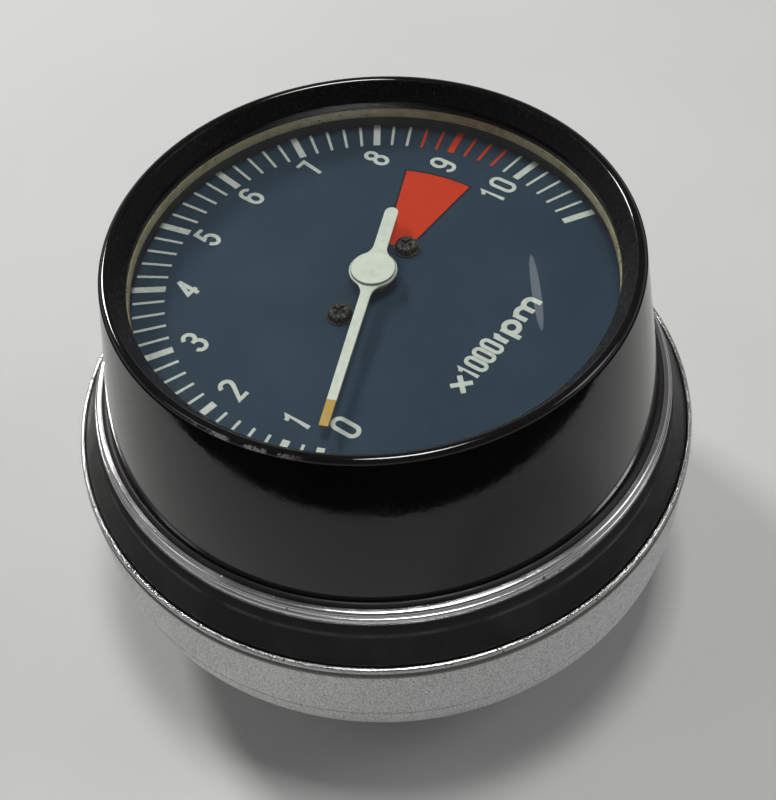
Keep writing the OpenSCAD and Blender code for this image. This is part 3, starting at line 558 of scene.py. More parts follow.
def feed(tree, socket, value):
    """Sets an input to a number or colour, or links it to a socket."""
    if value is None:
        return
    if isinstance(value, bpy.types.NodeSocket):
        tree.links.new(value, socket)
    elif isinstance(value, (int, float)):
        socket.default_value = value
    else:
        socket.default_value = tuple(value) + (1,) * (len(socket.default_value) - len(value))


def mapped(tree, value, low, high, to_low=0.0, to_high=1.0, smooth=True):
    """A value carried from one span to another, held at both ends."""
    node = tree.nodes.new("ShaderNodeMapRange")
    node.interpolation_type = "SMOOTHSTEP" if smooth else "LINEAR"
    for index, part in enumerate((value, low, high, to_low, to_high)):
        feed(tree, node.inputs[index], part)
    return node.outputs[0]


def noise(tree, vector, scale, detail):
    """A noise texture's value, by points in millimetres."""
    roughness = 0.55
    node = tree.nodes.new("ShaderNodeTexNoise")
    feed(tree, node.inputs["Vector"], vector)
    feed(tree, node.inputs["Scale"], scale)
    feed(tree, node.inputs["Detail"], detail)
    feed(tree, node.inputs["Roughness"], roughness)
    return node.outputs["Fac"]


def stretched(tree, vector, scale):
    """A vector scaled by another, axis by axis."""
    node = tree.nodes.new("ShaderNodeVectorMath")
    node.operation = "MULTIPLY"
    feed(tree, node.inputs[0], vector)
    feed(tree, node.inputs[1], scale)
    return node.outputs[0]


def millimetres_group():
    """Place on the instrument: a point in millimetres, and its radius, height and angle."""
    tree, _, out = group_named(
        "InstrumentPlace", [],
        [("Point", "NodeSocketVector"), ("Radius", "NodeSocketFloat"),
         ("Height", "NodeSocketFloat"), ("Angle", "NodeSocketFloat")],
    )
    per_metre, per_radian = 1000, 180 / math.pi
    place = tree.nodes.new("ShaderNodeTexCoord")
    point = stretched(tree, place.outputs["Object"], (per_metre, per_metre, per_metre))
    parts = tree.nodes.new("ShaderNodeSeparateXYZ")
    feed(tree, parts.inputs[0], point)
    square = math_node(tree, "MULTIPLY", parts.outputs[0], parts.outputs[0])
    both = math_node(tree, "MULTIPLY_ADD", parts.outputs[1], parts.outputs[1], square)
    angle = math_node(tree, "ARCTAN2", parts.outputs[1], parts.outputs[0])
    feed(tree, out.inputs["Point"], point)
    feed(tree, out.inputs["Radius"], math_node(tree, "SQRT", both))
    feed(tree, out.inputs["Height"], parts.outputs[2])
    feed(tree, out.inputs["Angle"], math_node(tree, "MULTIPLY", angle, per_radian))
    return tree


def dust_group():
    """Dust that settles on faces that look up, thicker in patches."""
    tree, given, out = group_named(
        "SettledDust",
        [("Point", "NodeSocketVector", None), ("Amount", "NodeSocketFloat", 0.3)],
        [("Mask", "NodeSocketFloat")],
    )
    steep, level = -0.1, 0.9
    patch_scale, grain_scale = 0.12, 3.0
    geometry = tree.nodes.new("ShaderNodeNewGeometry")
    parts = tree.nodes.new("ShaderNodeSeparateXYZ")
    feed(tree, parts.inputs[0], geometry.outputs["Normal"])
    upward = mapped(tree, parts.outputs[2], steep, level)
    patches = mapped(tree, noise(tree, given.outputs["Point"], patch_scale, 5), 0.35, 0.75)
    fine = mapped(tree, noise(tree, given.outputs["Point"], grain_scale, 2), 0.45, 0.75)
    film = math_node(tree, "MULTIPLY", patches, fine)
    amount = math_node(tree, "MULTIPLY", film, given.outputs["Amount"])
    feed(tree, out.inputs["Mask"], math_node(tree, "MULTIPLY", amount, upward))
    return tree


def pits_group():
    """Small round pits, thick in some places and rare in others."""
    tree, given, out = group_named(
        "ChromePits",
        [("Point", "NodeSocketVector", None), ("Scale", "NodeSocketFloat", 2.0),
         ("Share", "NodeSocketFloat", 0.4)],
        [("Mask", "NodeSocketFloat"), ("Height", "NodeSocketFloat")],
    )
    crowd_scale = 0.25
    smallest, largest, soft_edge = 0.12, 0.42, 0.08
    cells = tree.nodes.new("ShaderNodeTexVoronoi")
    feed(tree, cells.inputs["Vector"], given.outputs["Point"])
    feed(tree, cells.inputs["Scale"], given.outputs["Scale"])
    parts = tree.nodes.new("ShaderNodeSeparateColor")
    feed(tree, parts.inputs[0], cells.outputs["Color"])
    crowd = mapped(tree, noise(tree, given.outputs["Point"], crowd_scale, 4), 0.3, 0.7)
    limit = math_node(tree, "MULTIPLY", crowd, given.outputs["Share"])
    chosen = math_node(tree, "LESS_THAN", parts.outputs[0], limit)
    size = mapped(tree, parts.outputs[1], 0, 1, smallest, largest, smooth=False)
    edge = math_node(tree, "SUBTRACT", size, cells.outputs["Distance"])
    dot = mapped(tree, edge, 0, soft_edge)
    mask = math_node(tree, "MULTIPLY", dot, chosen)
    feed(tree, out.inputs["Mask"], mask)
    feed(tree, out.inputs["Height"], math_node(tree, "MULTIPLY", mask, -1))
    return tree


def hairlines_group():
    """Fine wiping scratches in two directions."""
    tree, given, out = group_named(
        "WipeScratches",
        [("Point", "NodeSocketVector", None), ("Amount", "NodeSocketFloat", 0.3)],
        [("Mask", "NodeSocketFloat")],
    )
    lean = (0.3, 0.2)
    line_start, line_full = 0.68, 0.74
    masks = []
    for turn, scale in ((0.6, (0.25, 9.0, 0.6)), (-0.9, (0.2, 7.0, 0.5))):
        mapping = tree.nodes.new("ShaderNodeMapping")
        mapping.inputs["Rotation"].default_value = (*lean, turn)
        mapping.inputs["Scale"].default_value = scale
        feed(tree, mapping.inputs["Vector"], given.outputs["Point"])
        masks.append(mapped(tree, noise(tree, mapping.outputs[0], 1.0, 1), line_start, line_full))
    both = math_node(tree, "MAXIMUM", masks[0], masks[1])
    feed(tree, out.inputs["Mask"], math_node(tree, "MULTIPLY", both, given.outputs["Amount"]))
    return tree


def lathe_marks_group():
    """Fine rings left by the lathe tool, by radius and height."""
    tree, given, out = group_named(
        "LatheMarks",
        [("Radius", "NodeSocketFloat", 0.0), ("Height", "NodeSocketFloat", 0.0),
         ("Pitch", "NodeSocketFloat", 0.15)],
        [("Height", "NodeSocketFloat")],
    )
    along = math_node(tree, "ADD", given.outputs["Radius"], given.outputs["Height"])
    turns = math_node(tree, "DIVIDE", along, given.outputs["Pitch"])
    line = tree.nodes.new("ShaderNodeTexNoise")
    line.noise_dimensions = "1D"
    feed(tree, line.inputs["W"], turns)
    line.inputs["Detail"].default_value = 2
    feed(tree, out.inputs["Height"], line.outputs["Fac"])
    return tree


def band_group():
    """A soft band round a value, such as a worn edge at one radius or height."""
    tree, given, out = group_named(
        "WornBand",
        [("Value", "NodeSocketFloat", 0.0), ("Middle", "NodeSocketFloat", 0.0),
         ("Half width", "NodeSocketFloat", 1.0)],
        [("Mask", "NodeSocketFloat")],
    )
    edge, full = 1.0, 0.4
    away = math_node(tree, "SUBTRACT", given.outputs["Value"], given.outputs["Middle"])
    size = math_node(tree, "ABSOLUTE", away)
    share = math_node(tree, "DIVIDE", size, given.outputs["Half width"])
    feed(tree, out.inputs["Mask"], mapped(tree, share, edge, full))
    return tree


GROUPS = {}


def build_groups():
    """Makes every shader group once."""
    GROUPS["place"] = millimetres_group()
    GROUPS["dust"] = dust_group()
    GROUPS["pits"] = pits_group()
    GROUPS["scratches"] = hairlines_group()
    GROUPS["lathe"] = lathe_marks_group()
    GROUPS["band"] = band_group()


class Finish:
    """One material with a Principled shader and the instrument's own coordinates."""

    def __init__(self, name, colour, roughness, metallic=0.0, **sockets):
        self.material = bpy.data.materials.new(name)
        self.material.use_nodes = True
        self.tree = self.material.node_tree
        self.shader = self.tree.nodes["Principled BSDF"]
        self.place = self.group("place")
        self.point = self.place.outputs["Point"]
        self.set("Base Color", colour)
        self.set("Roughness", roughness)
        self.set("Metallic", metallic)
        for socket, value in sockets.items():
            self.set(socket.replace("_", " "), value)

    def set(self, socket, value):
        """Feeds one of the shader's sockets."""
        feed(self.tree, self.shader.inputs[socket], value)

    def group(self, name, **values):
        """Places a shader group with its own values."""
        node = self.tree.nodes.new("ShaderNodeGroup")
        node.node_tree = GROUPS[name]
        for label, value in values.items():
            feed(self.tree, node.inputs[label.replace("_", " ")], value)
        return node

    def noise(self, scale, detail, stretch=None):
        """Noise over the instrument, stretched along an axis if asked."""
        vector = self.point if stretch is None else stretched(self.tree, self.point, stretch)
        return noise(self.tree, vector, scale, detail)

    def span(self, value, low, high, to_low=0.0, to_high=1.0):
        """A value carried from one span to another."""
        return mapped(self.tree, value, low, high, to_low, to_high)

    def times(self, first, second):
        """Two masks multiplied."""
        return math_node(self.tree, "MULTIPLY", first, second)

    def most(self, first, second):
        """The stronger of two masks."""
        return math_node(self.tree, "MAXIMUM", first, second)

    def mix(self, factor, first, second):
        """A colour between two others."""
        node = self.tree.nodes.new("ShaderNodeMix")
        node.data_type = "RGBA"
        feed(self.tree, node.inputs["Factor"], factor)
        feed(self.tree, node.inputs["A"], first)
        feed(self.tree, node.inputs["B"], second)
        return node.outputs["Result"]

    def blend(self, factor, first, second):
        """A value between two others."""
        node = self.tree.nodes.new("ShaderNodeMix")
        feed(self.tree, node.inputs["Factor"], factor)
        feed(self.tree, node.inputs["A"], first)
        feed(self.tree, node.inputs["B"], second)
        return node.outputs["Result"]

    def bump(self, height, distance, strength=1.0):
        """A bump from a height, with its depth in millimetres."""
        node = self.tree.nodes.new("ShaderNodeBump")
        feed(self.tree, node.inputs["Height"], height)
        node.inputs["Distance"].default_value = distance * MM
        node.inputs["Strength"].default_value = strength
        self.set("Normal", node.outputs["Normal"])

    def band(self, value, middle, half_width):
        """A soft band mask round a radius, height or angle."""
        band = self.group("band", Value=value, Middle=middle, Half_width=half_width)
        return band.outputs["Mask"]


def wear(finish, factor, colour, roughness, metallic=None):
    """Lays a second finish over the first where factor is high."""
    for socket, value in (("Base Color", colour), ("Roughness", roughness), ("Metallic", metallic)):
        if value is None:
            continue
        entry = finish.shader.inputs[socket]
        if entry.is_linked:
            before = entry.links[0].from_socket
        elif socket == "Base Color":
            before = tuple(entry.default_value)
        else:
            before = entry.default_value
        mixed = finish.mix if socket == "Base Color" else finish.blend
        finish.set(socket, mixed(factor, before, value))


def dress(finish, *names):
    """Gives a finish to CAD nodes."""
    for name in names:
        for slot in NODES[name].material_slots:
            slot.material = finish.material


def shaded(colour, share):
    """A colour made darker, or lighter where the share is above 1."""
    return tuple(share * c for c in colour)


def mixed_shaders(tree, factor, first, second):
    """A Mix Shader's output, between two shaders."""
    node = tree.nodes.new("ShaderNodeMixShader")
    for socket, value in zip(node.inputs, (factor, first, second)):
        tree.links.new(value, socket)
    return node.outputs[0]


# Finishes


def rim_chips(finish):
    """Mask of ragged chips along one stretch of the rim's shoulder, partly real chipped enamel and
    partly a painted highlight on the fold.
    """
    shoulder_z, shoulder_half = CROWN_Z - 0.32, 0.28
    marked_angle, marked_half = -168, 14
    shoulder = finish.band(finish.place.outputs["Height"], shoulder_z, shoulder_half)
    dashes = finish.span(finish.noise(0.5, 5), 0.46, 0.56)
    ragged = finish.span(finish.noise(2.6, 4), 0.4, 0.5)
    stretch = finish.band(finish.place.outputs["Angle"], marked_angle, marked_half)
    return finish.times(finish.times(shoulder, dashes), finish.times(ragged, stretch))


def hood_enamel(look):
    """Gloss black enamel, hazed by handling, a little dusty, and chipped on its rim, the chips
    partly a painted highlight.
    """
    clean, handled = look.enamel_roughness, look.enamel_roughness + 0.05
    scratch_tone, chip_and_glint_tone = (0.012, 0.012, 0.012), (0.36, 0.35, 0.32)
    finish = Finish("hood_enamel", look.enamel, clean, Specular_IOR_Level=0.42)
    haze = finish.span(finish.noise(0.09, 5), 0.4, 0.75)
    finish.set("Roughness", finish.blend(haze, clean, handled))
    scratches = finish.group("scratches", Point=finish.point, Amount=0.3)
    wear(finish, scratches.outputs["Mask"], scratch_tone, 0.25)
    dust = finish.group("dust", Point=finish.point, Amount=0.12)
    wear(finish, dust.outputs["Mask"], DUST_TONE, 0.6)
    # Painted highlight mixed with real chips: pale metal-toned dashes on one stretch of the rim's
    # shoulder
    wear(finish, finish.times(rim_chips(finish), look.rim_wear), chip_and_glint_tone, 0.3, 0.5)
    orange_peel = finish.noise(0.7, 2)
    finish.bump(orange_peel, 0.006)
    return finish


def lip_enamel(look):
    """Duller enamel on the hood's lip, with fine scratches and flecks of dirt."""
    smoothest, dullest = 0.24, 0.42
    scratch_tone, dark_mark_tone = (0.020, 0.019, 0.017), (0.045, 0.042, 0.034)
    finish = Finish("lip_enamel", look.enamel, 0.3, Specular_IOR_Level=0.12)
    dull = finish.span(finish.noise(1.4, 5), 0.35, 0.7, smoothest, dullest)
    finish.set("Roughness", dull)
    scratches = finish.group("scratches", Point=finish.point, Amount=0.6)
    wear(finish, scratches.outputs["Mask"], scratch_tone, 0.4)
    flecks = finish.span(finish.noise(2.2, 5), 0.62, 0.7)
    wear(finish, finish.times(flecks, 0.6), dark_mark_tone, 0.6)
    finish.bump(finish.noise(0.9, 3), 0.008)
    return finish


def clear_pane():
    """Window glass with faint smears, which lets lamps and soft light through to the dial."""
    pane_tone, through_tone = (0.97, 0.985, 0.975), (0.92, 0.935, 0.925, 1)
    most_smeared = 0.05
    finish = Finish("lens_pane", pane_tone, 0.0, Transmission_Weight=1.0, IOR=1.5)
    smears = finish.noise(0.16, 4, (1.0, 0.45, 1.0))
    finish.set("Roughness", finish.span(smears, 0.56, 0.8, 0.0, most_smeared))
    tree = finish.tree
    path = tree.nodes.new("ShaderNodeLightPath")
    clear = tree.nodes.new("ShaderNodeBsdfTransparent")
    clear.inputs["Color"].default_value = through_tone
    shader = finish.shader.outputs[0]
    for label in ("Is Diffuse Ray", "Is Shadow Ray"):
        shader = mixed_shaders(tree, path.outputs[label], shader, clear.outputs[0])
    tree.links.new(shader, tree.nodes["Material Output"].inputs["Surface"])
    return finish


def aged_cream():
    """Light ring of yellowed white plastic with brown specks."""
    yellowed, stained, speck = (0.50, 0.45, 0.27), (0.34, 0.29, 0.15), (0.05, 0.035, 0.02)
    finish = Finish("light_ring_cream", yellowed, 0.5)
    stain = finish.span(finish.noise(0.35, 5), 0.4, 0.7)
    wear(finish, stain, stained, 0.6)
    pits = finish.group("pits", Point=finish.point, Scale=1.6, Share=0.35)
    wear(finish, pits.outputs["Mask"], speck, 0.8)
    finish.bump(finish.noise(4.0, 3), 0.02)
    return finish


def dial_satin(look):
    """Satin slate blue dial paint, a little mottled, with fine dust."""
    lighter, dust_tone = shaded(look.dial, 1.25), (0.3, 0.32, 0.33)
    finish = Finish("dial_satin", look.dial, 0.6, Specular_IOR_Level=0.1)
    mottle = finish.span(finish.noise(0.06, 4), 0.35, 0.7)
    finish.set("Base Color", finish.mix(mottle, look.dial, lighter))
    dust = finish.group("dust", Point=finish.point, Amount=0.015)
    wear(finish, dust.outputs["Mask"], dust_tone, 0.7)
    finish.bump(finish.noise(5.0, 3), 0.006)
    return finish


def print_ink(name, colour, fade):
    """Matt screen ink, thinner in places so that its tone varies."""
    finish = Finish(name, colour, 0.65, Specular_IOR_Level=0.12)
    thin = finish.span(finish.noise(1.2, 4), 0.35, 0.7)
    finish.set("Base Color", finish.mix(thin, colour, shaded(colour, fade)))
    finish.bump(finish.noise(7.0, 2), 0.008)
    return finish


def pointer_enamel(look):
    """Cream pointer paint, a little stained, with an amber end."""
    tip_start, soft_edge = 27.9, 0.06
    stained_tip = (0.36, 0.25, 0.05)
    finish = Finish("pointer_enamel", look.pointer, 0.42)
    radius = finish.place.outputs["Radius"]
    amber = finish.span(radius, tip_start - soft_edge, tip_start + soft_edge)
    stain = finish.span(finish.noise(0.8, 4), 0.4, 0.75)
    cream = finish.mix(stain, look.pointer, shaded(look.pointer, 0.86))
    tip = finish.mix(stain, look.tip, stained_tip)
    finish.set("Base Color", finish.mix(amber, cream, tip))
    finish.bump(finish.noise(4.0, 3), 0.01)
    return finish


def cap_enamel(look):
    """Smooth pale paint on the pointer's cap, with painted shade along its edge."""
    clean, dulled = shaded(look.pointer, 1.05), shaded(look.pointer, 0.9)
    dark_mark_tone = (0.10, 0.105, 0.08)
    cap_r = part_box("pointer_cap")[1].x / MM
    shade_start_r, darkest_r = cap_r - 0.2, cap_r - 0.05
    finish = Finish("cap_enamel", clean, 0.35)
    worn = finish.span(finish.noise(0.5, 4), 0.45, 0.75)
    finish.set("Base Color", finish.mix(worn, clean, dulled))
    # Painted shade: a dark ring round the cap's edge, where its rounded rim would fall into shade
    edge = finish.span(finish.place.outputs["Radius"], shade_start_r, darkest_r)
    wear(finish, finish.times(edge, 0.75), dark_mark_tone, 0.6)
    finish.bump(finish.noise(2.5, 3), 0.006)
    return finish


def black_screw():
    """Blackened steel with flecks of brown dust."""
    blackened, dust_tone = (0.003, 0.003, 0.0028), (0.10, 0.092, 0.066)
    finish = Finish("screw_black", blackened, 0.6, 0.0, Specular_IOR_Level=0.2)
    dirt = finish.span(finish.noise(2.4, 6), 0.52, 0.6)
    wear(finish, dirt, dust_tone, 0.85)
    finish.bump(finish.noise(2.6, 5), 0.12)
    return finish


def ring_chrome(look):
    """Bright chrome with a soft haze and rare rust pits."""
    clear, hazed = 0.15, 0.24
    rust_tone = (0.09, 0.06, 0.045)
    finish = Finish("ring_chrome", look.chrome, clear, 1.0)
    haze = finish.span(finish.noise(0.12, 4), 0.35, 0.75, clear, hazed)
    finish.set("Roughness", haze)
    pits = finish.group("pits", Point=finish.point, Scale=1.1, Share=0.12)
    wear(finish, pits.outputs["Mask"], rust_tone, 0.6, 0.4)
    finish.bump(pits.outputs["Height"], 0.03)
    return finish


def speckled(finish, pitting):
    """Mask of the fine pits and grain on the cup's wall, drawn out along its height."""
    drawn_out = stretched(finish.tree, finish.point, (1, 1, 0.55))
    fine = finish.group("pits", Point=drawn_out, Scale=3.6, Share=0.75)
    grain = finish.span(finish.noise(3.8, 4, (1, 1, 0.5)), 0.46, 0.6)
    return finish.times(finish.most(fine.outputs["Mask"], grain), pitting)


def cup_chrome(look):
    """Dull chrome: a bloom with fine pits, painted shade on the neck under the bead, and a
    brighter, coarser pitted bead.
    """
    speck_tone, neck_shade_tone, rust_tone = (0.17, 0.175, 0.165), (0.09, 0.08, 0.07), (0.05, 0.045, 0.04)
    bead_tone = (0.62, 0.62, 0.61)
    bead_low, bead_full = BEAD_TOP_Z - 1.05, BEAD_TOP_Z - 0.9
    neck_z, neck_half = BEAD_Z - 1.1, 0.75
    finish = Finish("cup_chrome", look.hazy_chrome, 0.42, 1.0)
    height = finish.place.outputs["Height"]
    bead = finish.span(height, bead_low, bead_full)
    bloom = finish.span(finish.noise(0.22, 6, (1, 1, 0.5)), 0.3, 0.7)
    finish.set("Roughness", finish.blend(bloom, 0.36, 0.5))
    finish.set("Metallic", finish.blend(bloom, 0.65, 0.4))
    specks = speckled(finish, look.pitting)
    wear(finish, specks, speck_tone, 0.6, 0.4)
    # Painted shade: a dark band on the neck just under the bead
    neck_shade = finish.band(height, neck_z, neck_half)
    wear(finish, finish.times(neck_shade, 0.85), neck_shade_tone, 0.5, 0.5)
    wear(finish, bead, bead_tone, 0.12, 1.0)
    coarse = finish.group("pits", Point=finish.point, Scale=1.5, Share=0.8)
    corroded = finish.times(coarse.outputs["Mask"], bead)
    wear(finish, corroded, rust_tone, 0.55, 0.6)
    finish.bump(finish.most(specks, corroded), 0.05, 0.6)
    return finish


def aged_rubber(name, colour, dusty):
    """Moulded black rubber, greyed by age and dust, with a fine grain."""
    greyed = tuple(1.6 * c + 0.002 for c in colour)
    finish = Finish(name, colour, 0.45, Specular_IOR_Level=0.3)
    bleached = finish.span(finish.noise(0.14, 6), 0.4, 0.75)
    finish.set("Base Color", finish.mix(bleached, colour, greyed))
    finish.set("Roughness", finish.blend(bleached, 0.38, 0.55))
    dust = finish.group("dust", Point=finish.point, Amount=dusty)
    wear(finish, dust.outputs["Mask"], DUST_TONE, 0.85)
    finish.bump(finish.noise(3.2, 5), 0.035)
    return finish


def cushion_rubber(look):
    """The cushion's rubber, paler along its knee, partly scuffed and partly a painted highlight,
    and smudged in places.
    """
    knee_mark_r, knee_mark_half = CUSHION_R - 2.75, 0.24
    scuff_and_sheen_tone, smudge_tone = (0.075, 0.073, 0.065), (0.09, 0.088, 0.08)
    finish = aged_rubber("cushion_rubber", look.rubber, 0.12)
    # Painted highlight along the knee's edge, mixed with real scuffing
    knee = finish.band(finish.place.outputs["Radius"], knee_mark_r, knee_mark_half)
    broken = finish.span(finish.noise(0.16, 5), 0.3, 0.6)
    wear(finish, finish.times(finish.times(knee, broken), 0.55), scuff_and_sheen_tone, 0.5)
    smudge = finish.span(finish.noise(0.2, 6, (1, 1, 2)), 0.68, 0.8)
    wear(finish, finish.times(smudge, 0.18), smudge_tone, 0.7)
    return finish


def metal(name, colour, roughness, lathe_pitch=None, grain=None):
    """Plain metal with lathe rings, or with a cast or rolled grain."""
    duller = min(1, roughness + 0.18)
    finish = Finish(name, colour, roughness, 1.0)
    tarnish = finish.span(finish.noise(0.25, 5), 0.35, 0.75)
    finish.set("Base Color", finish.mix(tarnish, colour, shaded(colour, 0.7)))
    finish.set("Roughness", finish.blend(tarnish, roughness, duller))
    if lathe_pitch:
        rings = finish.group(
            "lathe", Radius=finish.place.outputs["Radius"],
            Height=finish.place.outputs["Height"], Pitch=lathe_pitch,
        )
        finish.bump(rings.outputs["Height"], 0.012)
    else:
        finish.bump(finish.noise(grain, 5), 0.04)
    return finish


def moulded(name, colour, roughness):
    """Moulded plastic or baked paint with a slight texture."""
    handled = tuple(0.8 * c + 0.01 for c in colour)
    finish = Finish(name, colour, roughness)
    worn = finish.span(finish.noise(0.4, 5), 0.4, 0.75)
    finish.set("Base Color", finish.mix(worn, colour, handled))
    finish.bump(finish.noise(3.0, 4), 0.02)
    return finish


def bulb_glass():
    """Bulb glass, clear with greyer patches."""
    clear, greyed = (0.96, 0.96, 0.93), (0.78, 0.77, 0.73)
    finish = Finish("bulb_glass", clear, 0.03, Transmission_Weight=1.0, IOR=1.48)
    grey = finish.span(finish.noise(0.5, 3), 0.4, 0.7)
    finish.set("Base Color", finish.mix(grey, clear, greyed))
    return finish


# Operators


def hood_outline():
    """Outline of the hood: a foot flange, a tapered wall, a narrow fold and a lip that leans in."""
    flange_r, flange_low, inner_foot_r = 50.6, 47.95, 48.73
    lip_wall = 0.95
    fold, inner_round = (FOLD_R, FOLD_Z), FOLD_ROUND - HOOD_WALL
    wall_angle, lip_angle = HOOD_TILT, 180 - LIP_TILT
    outer = bow(fold, (FOLD_ROUND, FOLD_ROUND), wall_angle, lip_angle, steps=16)
    inner = bow(fold, (inner_round, inner_round), lip_angle, wall_angle, steps=6)
    return [
        (flange_r, flange_low), (flange_r, HOOD_FOOT_Z), (HOOD_FOOT_R, HOOD_FOOT_Z), *outer,
        (LIP_END_R, LIP_END_Z), (LIP_END_R + lip_wall, LIP_END_Z), *inner,
        (inner_foot_r, flange_low),
    ]


class TACHO_OT_hood(bpy.types.Operator):
    """Build the black hood with its narrow folded rim"""

    bl_idname = "tacho.hood"
    bl_label = "Hood"
    bl_options = {"REGISTER", "UNDO"}

    def execute(self, context):
        look = context.scene.tacho_finish
        enamel = hood_enamel(look).material
        piece = turned_piece("hood_folded", hood_outline(), enamel)
        piece.data.materials.append(lip_enamel(look).material)
        lip_start = (FOLD_R - 0.55) * MM
        for face in piece.data.polygons:
            on_lip = face.center.xy.length < lip_start and face.center.z > LIP_END_Z * MM
            face.material_index = 1 if on_lip else 0
        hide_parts("hood")
        return {"FINISHED"}


def seat_outline():
    """Outline of the rubber seat: a channel that holds the glass from below and outside."""
    glass_r, glass_low, glass_top = 42.53, 74.05, 75.75
    outer_r = 43.15
    return [
        (SEAT_R, SEAT_LOW_Z), (outer_r, SEAT_LOW_Z), (outer_r, glass_top), (glass_r, glass_top),
        (glass_r, glass_low), (SEAT_R, glass_low),
    ]


def light_ring_outline():
    """Outline of the light ring under the glass seat."""
    low, top = LIGHT_RING_LOW_Z, SEAT_LOW_Z
    inner, outer = LIGHT_RING_R, LIGHT_RING_OUTER_R
    return rounded([(inner, low), (outer, low), (outer, top), (inner, top)], 0.15, 2)


def spacer_outline():
    """Outline of the black ring between the dial and the light ring."""
    low, top = DIAL_Z + 0.02, LIGHT_RING_LOW_Z
    inner, outer = 40.8, LIGHT_RING_OUTER_R
    return [(inner, low), (outer, low), (outer, top), (inner, top)]


class TACHO_OT_glazing(bpy.types.Operator):
    """Finish the glass, and build the rubber, the light ring and the black ring under it"""

    bl_idname = "tacho.glazing"
    bl_label = "Glass and Light Ring"
    bl_options = {"REGISTER", "UNDO"}

    def execute(self, context):
        dress(clear_pane(), "lens")
        rubber = aged_rubber("lens_gasket_rubber", (0.014, 0.012, 0.010), 0.3).material
        piece = turned_piece("gasket_seat", seat_outline(), rubber, 192)
        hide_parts("lens_gasket")
        cream = aged_cream().material
        piece = turned_piece("light_ring_wide", light_ring_outline(), cream)
        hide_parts("light_ring")
        black = moulded("spacer_black", (0.006, 0.006, 0.006), 0.5).material
        turned_piece("dial_spacer", spacer_outline(), black)
        return {"FINISHED"}


def scale_angle(text, value):
    """Angle of a scale value on the dial in degrees, from 1 up."""
    return 90 + (text.middle - value) * text.step


def on_ring(radius, degrees):
    """A point on the dial."""
    angle = math.radians(degrees)
    return Vector((radius * math.cos(angle), radius * math.sin(angle)))


def number_strokes(text):
    """Strokes of the numbers 0 to 10 round the dial."""
    width, height, stroke = text.number_width, text.number_height, text.number_stroke
    zero_turn, ten_turn = 14.0, 0.4
    inner_ring = text.number_ring - 0.65
    left_shift, right_shift = 1.8, 1.55
    strokes = []
    for value in range(1, 10):
        middle = on_ring(text.number_ring, scale_angle(text, value))
        strokes += digit_on_dial(str(value), middle, width, height, stroke)
    middle = on_ring(inner_ring, scale_angle(text, 1) + zero_turn)
    strokes += digit_on_dial("0", middle, width, height, stroke)
    middle = on_ring(inner_ring, scale_angle(text, 10) + ten_turn)
    for digit, shift in (("1", -left_shift), ("0", right_shift)):
        strokes += digit_on_dial(digit, middle + Vector((shift, 0)), width, height, stroke)
    return strokes


def legend_strokes(text):
    """Strokes of the unit legend: a multiplier in narrow figures and the unit in wider letters."""
    base = text.legend_base
    cross_left, cross_w, cross_stroke = -11.9, 3.4, 0.85
    figure_left, figure_pitch = -8.75, 2.2
    figure_w, figure_h, figure_stroke = 2.1, 4.2, 0.68
    letter_h, letter_stroke = 3.35, 0.92
    cross = LETTER_STROKES["x"]
    strokes = placed(cross, (cross_left, base), cross_w, letter_h, cross_stroke)
    for index, digit in enumerate("1000"):
        middle = (figure_left + figure_w / 2 + figure_pitch * index, base + figure_h / 2)
        strokes += digit_on_dial(digit, middle, figure_w, figure_h, figure_stroke)
    for letter, left, width in (("r", 0.5, 1.6), ("p", 2.35, 3.35), ("m", 6.1, 5.4)):
        strokes += placed(LETTER_STROKES[letter], (left, base), width, letter_h, letter_stroke)
    return strokes


def sector_edge(text):
    """Stroke of the thin dark line along the red sector's sides and arc."""
    first, last = scale_angle(text, 9.6), scale_angle(text, 8.5)
    line = 0.34
    outside = line / 2
    outer, low_start, high_start = 28.1 + outside, 12.2, 9.0
    before_first, past_last = on_ring(outside, first - 90), on_ring(outside, last + 90)
    arc = [Vector(p) for p in bow((0, 0), (outer, outer), first, last, steps=24)][1:-1]
    low = [on_ring(low_start, first) + before_first, on_ring(outer, first) + before_first]
    high = [on_ring(outer, last) + past_last, on_ring(high_start, last) + past_last]
    return [(low + arc + high, line, False)]


class TACHO_OT_dial(bpy.types.Operator):
    """Finish the dial plate and its screws, and print its numbers, legend and sector line"""

    bl_idname = "tacho.dial"
    bl_label = "Dial"
    bl_options = {"REGISTER", "UNDO"}

    def execute(self, context):
        look, text = context.scene.tacho_finish, context.scene.tacho_print
        ink = print_ink("scale_ink", look.cream, 0.86)
        dress(dial_satin(look), "dial_plate")
        dress(ink, "scale_marks")
        dress(print_ink("red_ink", look.red, 0.92), "redline_marks")
        dress(black_screw(), "dial_screws")
        dark = print_ink("sector_edge_ink", (0.003, 0.002, 0.003), 2.5)
        for name, strokes, colour, slot in (
            ("dial_numbers", number_strokes(text), ink, "dial_print"),
            ("unit_legend", legend_strokes(text), ink, "dial_print"),
            ("sector_edge", sector_edge(text), dark, "red_print"),
        ):
            printed_piece(name, strokes, colour.material, DIAL_Z, thickness=0.05)
        return {"FINISHED"}


class TACHO_OT_pointer(bpy.types.Operator):
    """Finish the pointer and its cap"""

    bl_idname = "tacho.pointer"
    bl_label = "Pointer"
    bl_options = {"REGISTER", "UNDO"}

    def execute(self, context):
        look = context.scene.tacho_finish
        dress(pointer_enamel(look), "pointer_blade")
        dress(cap_enamel(look), "pointer_cap")
        return {"FINISHED"}


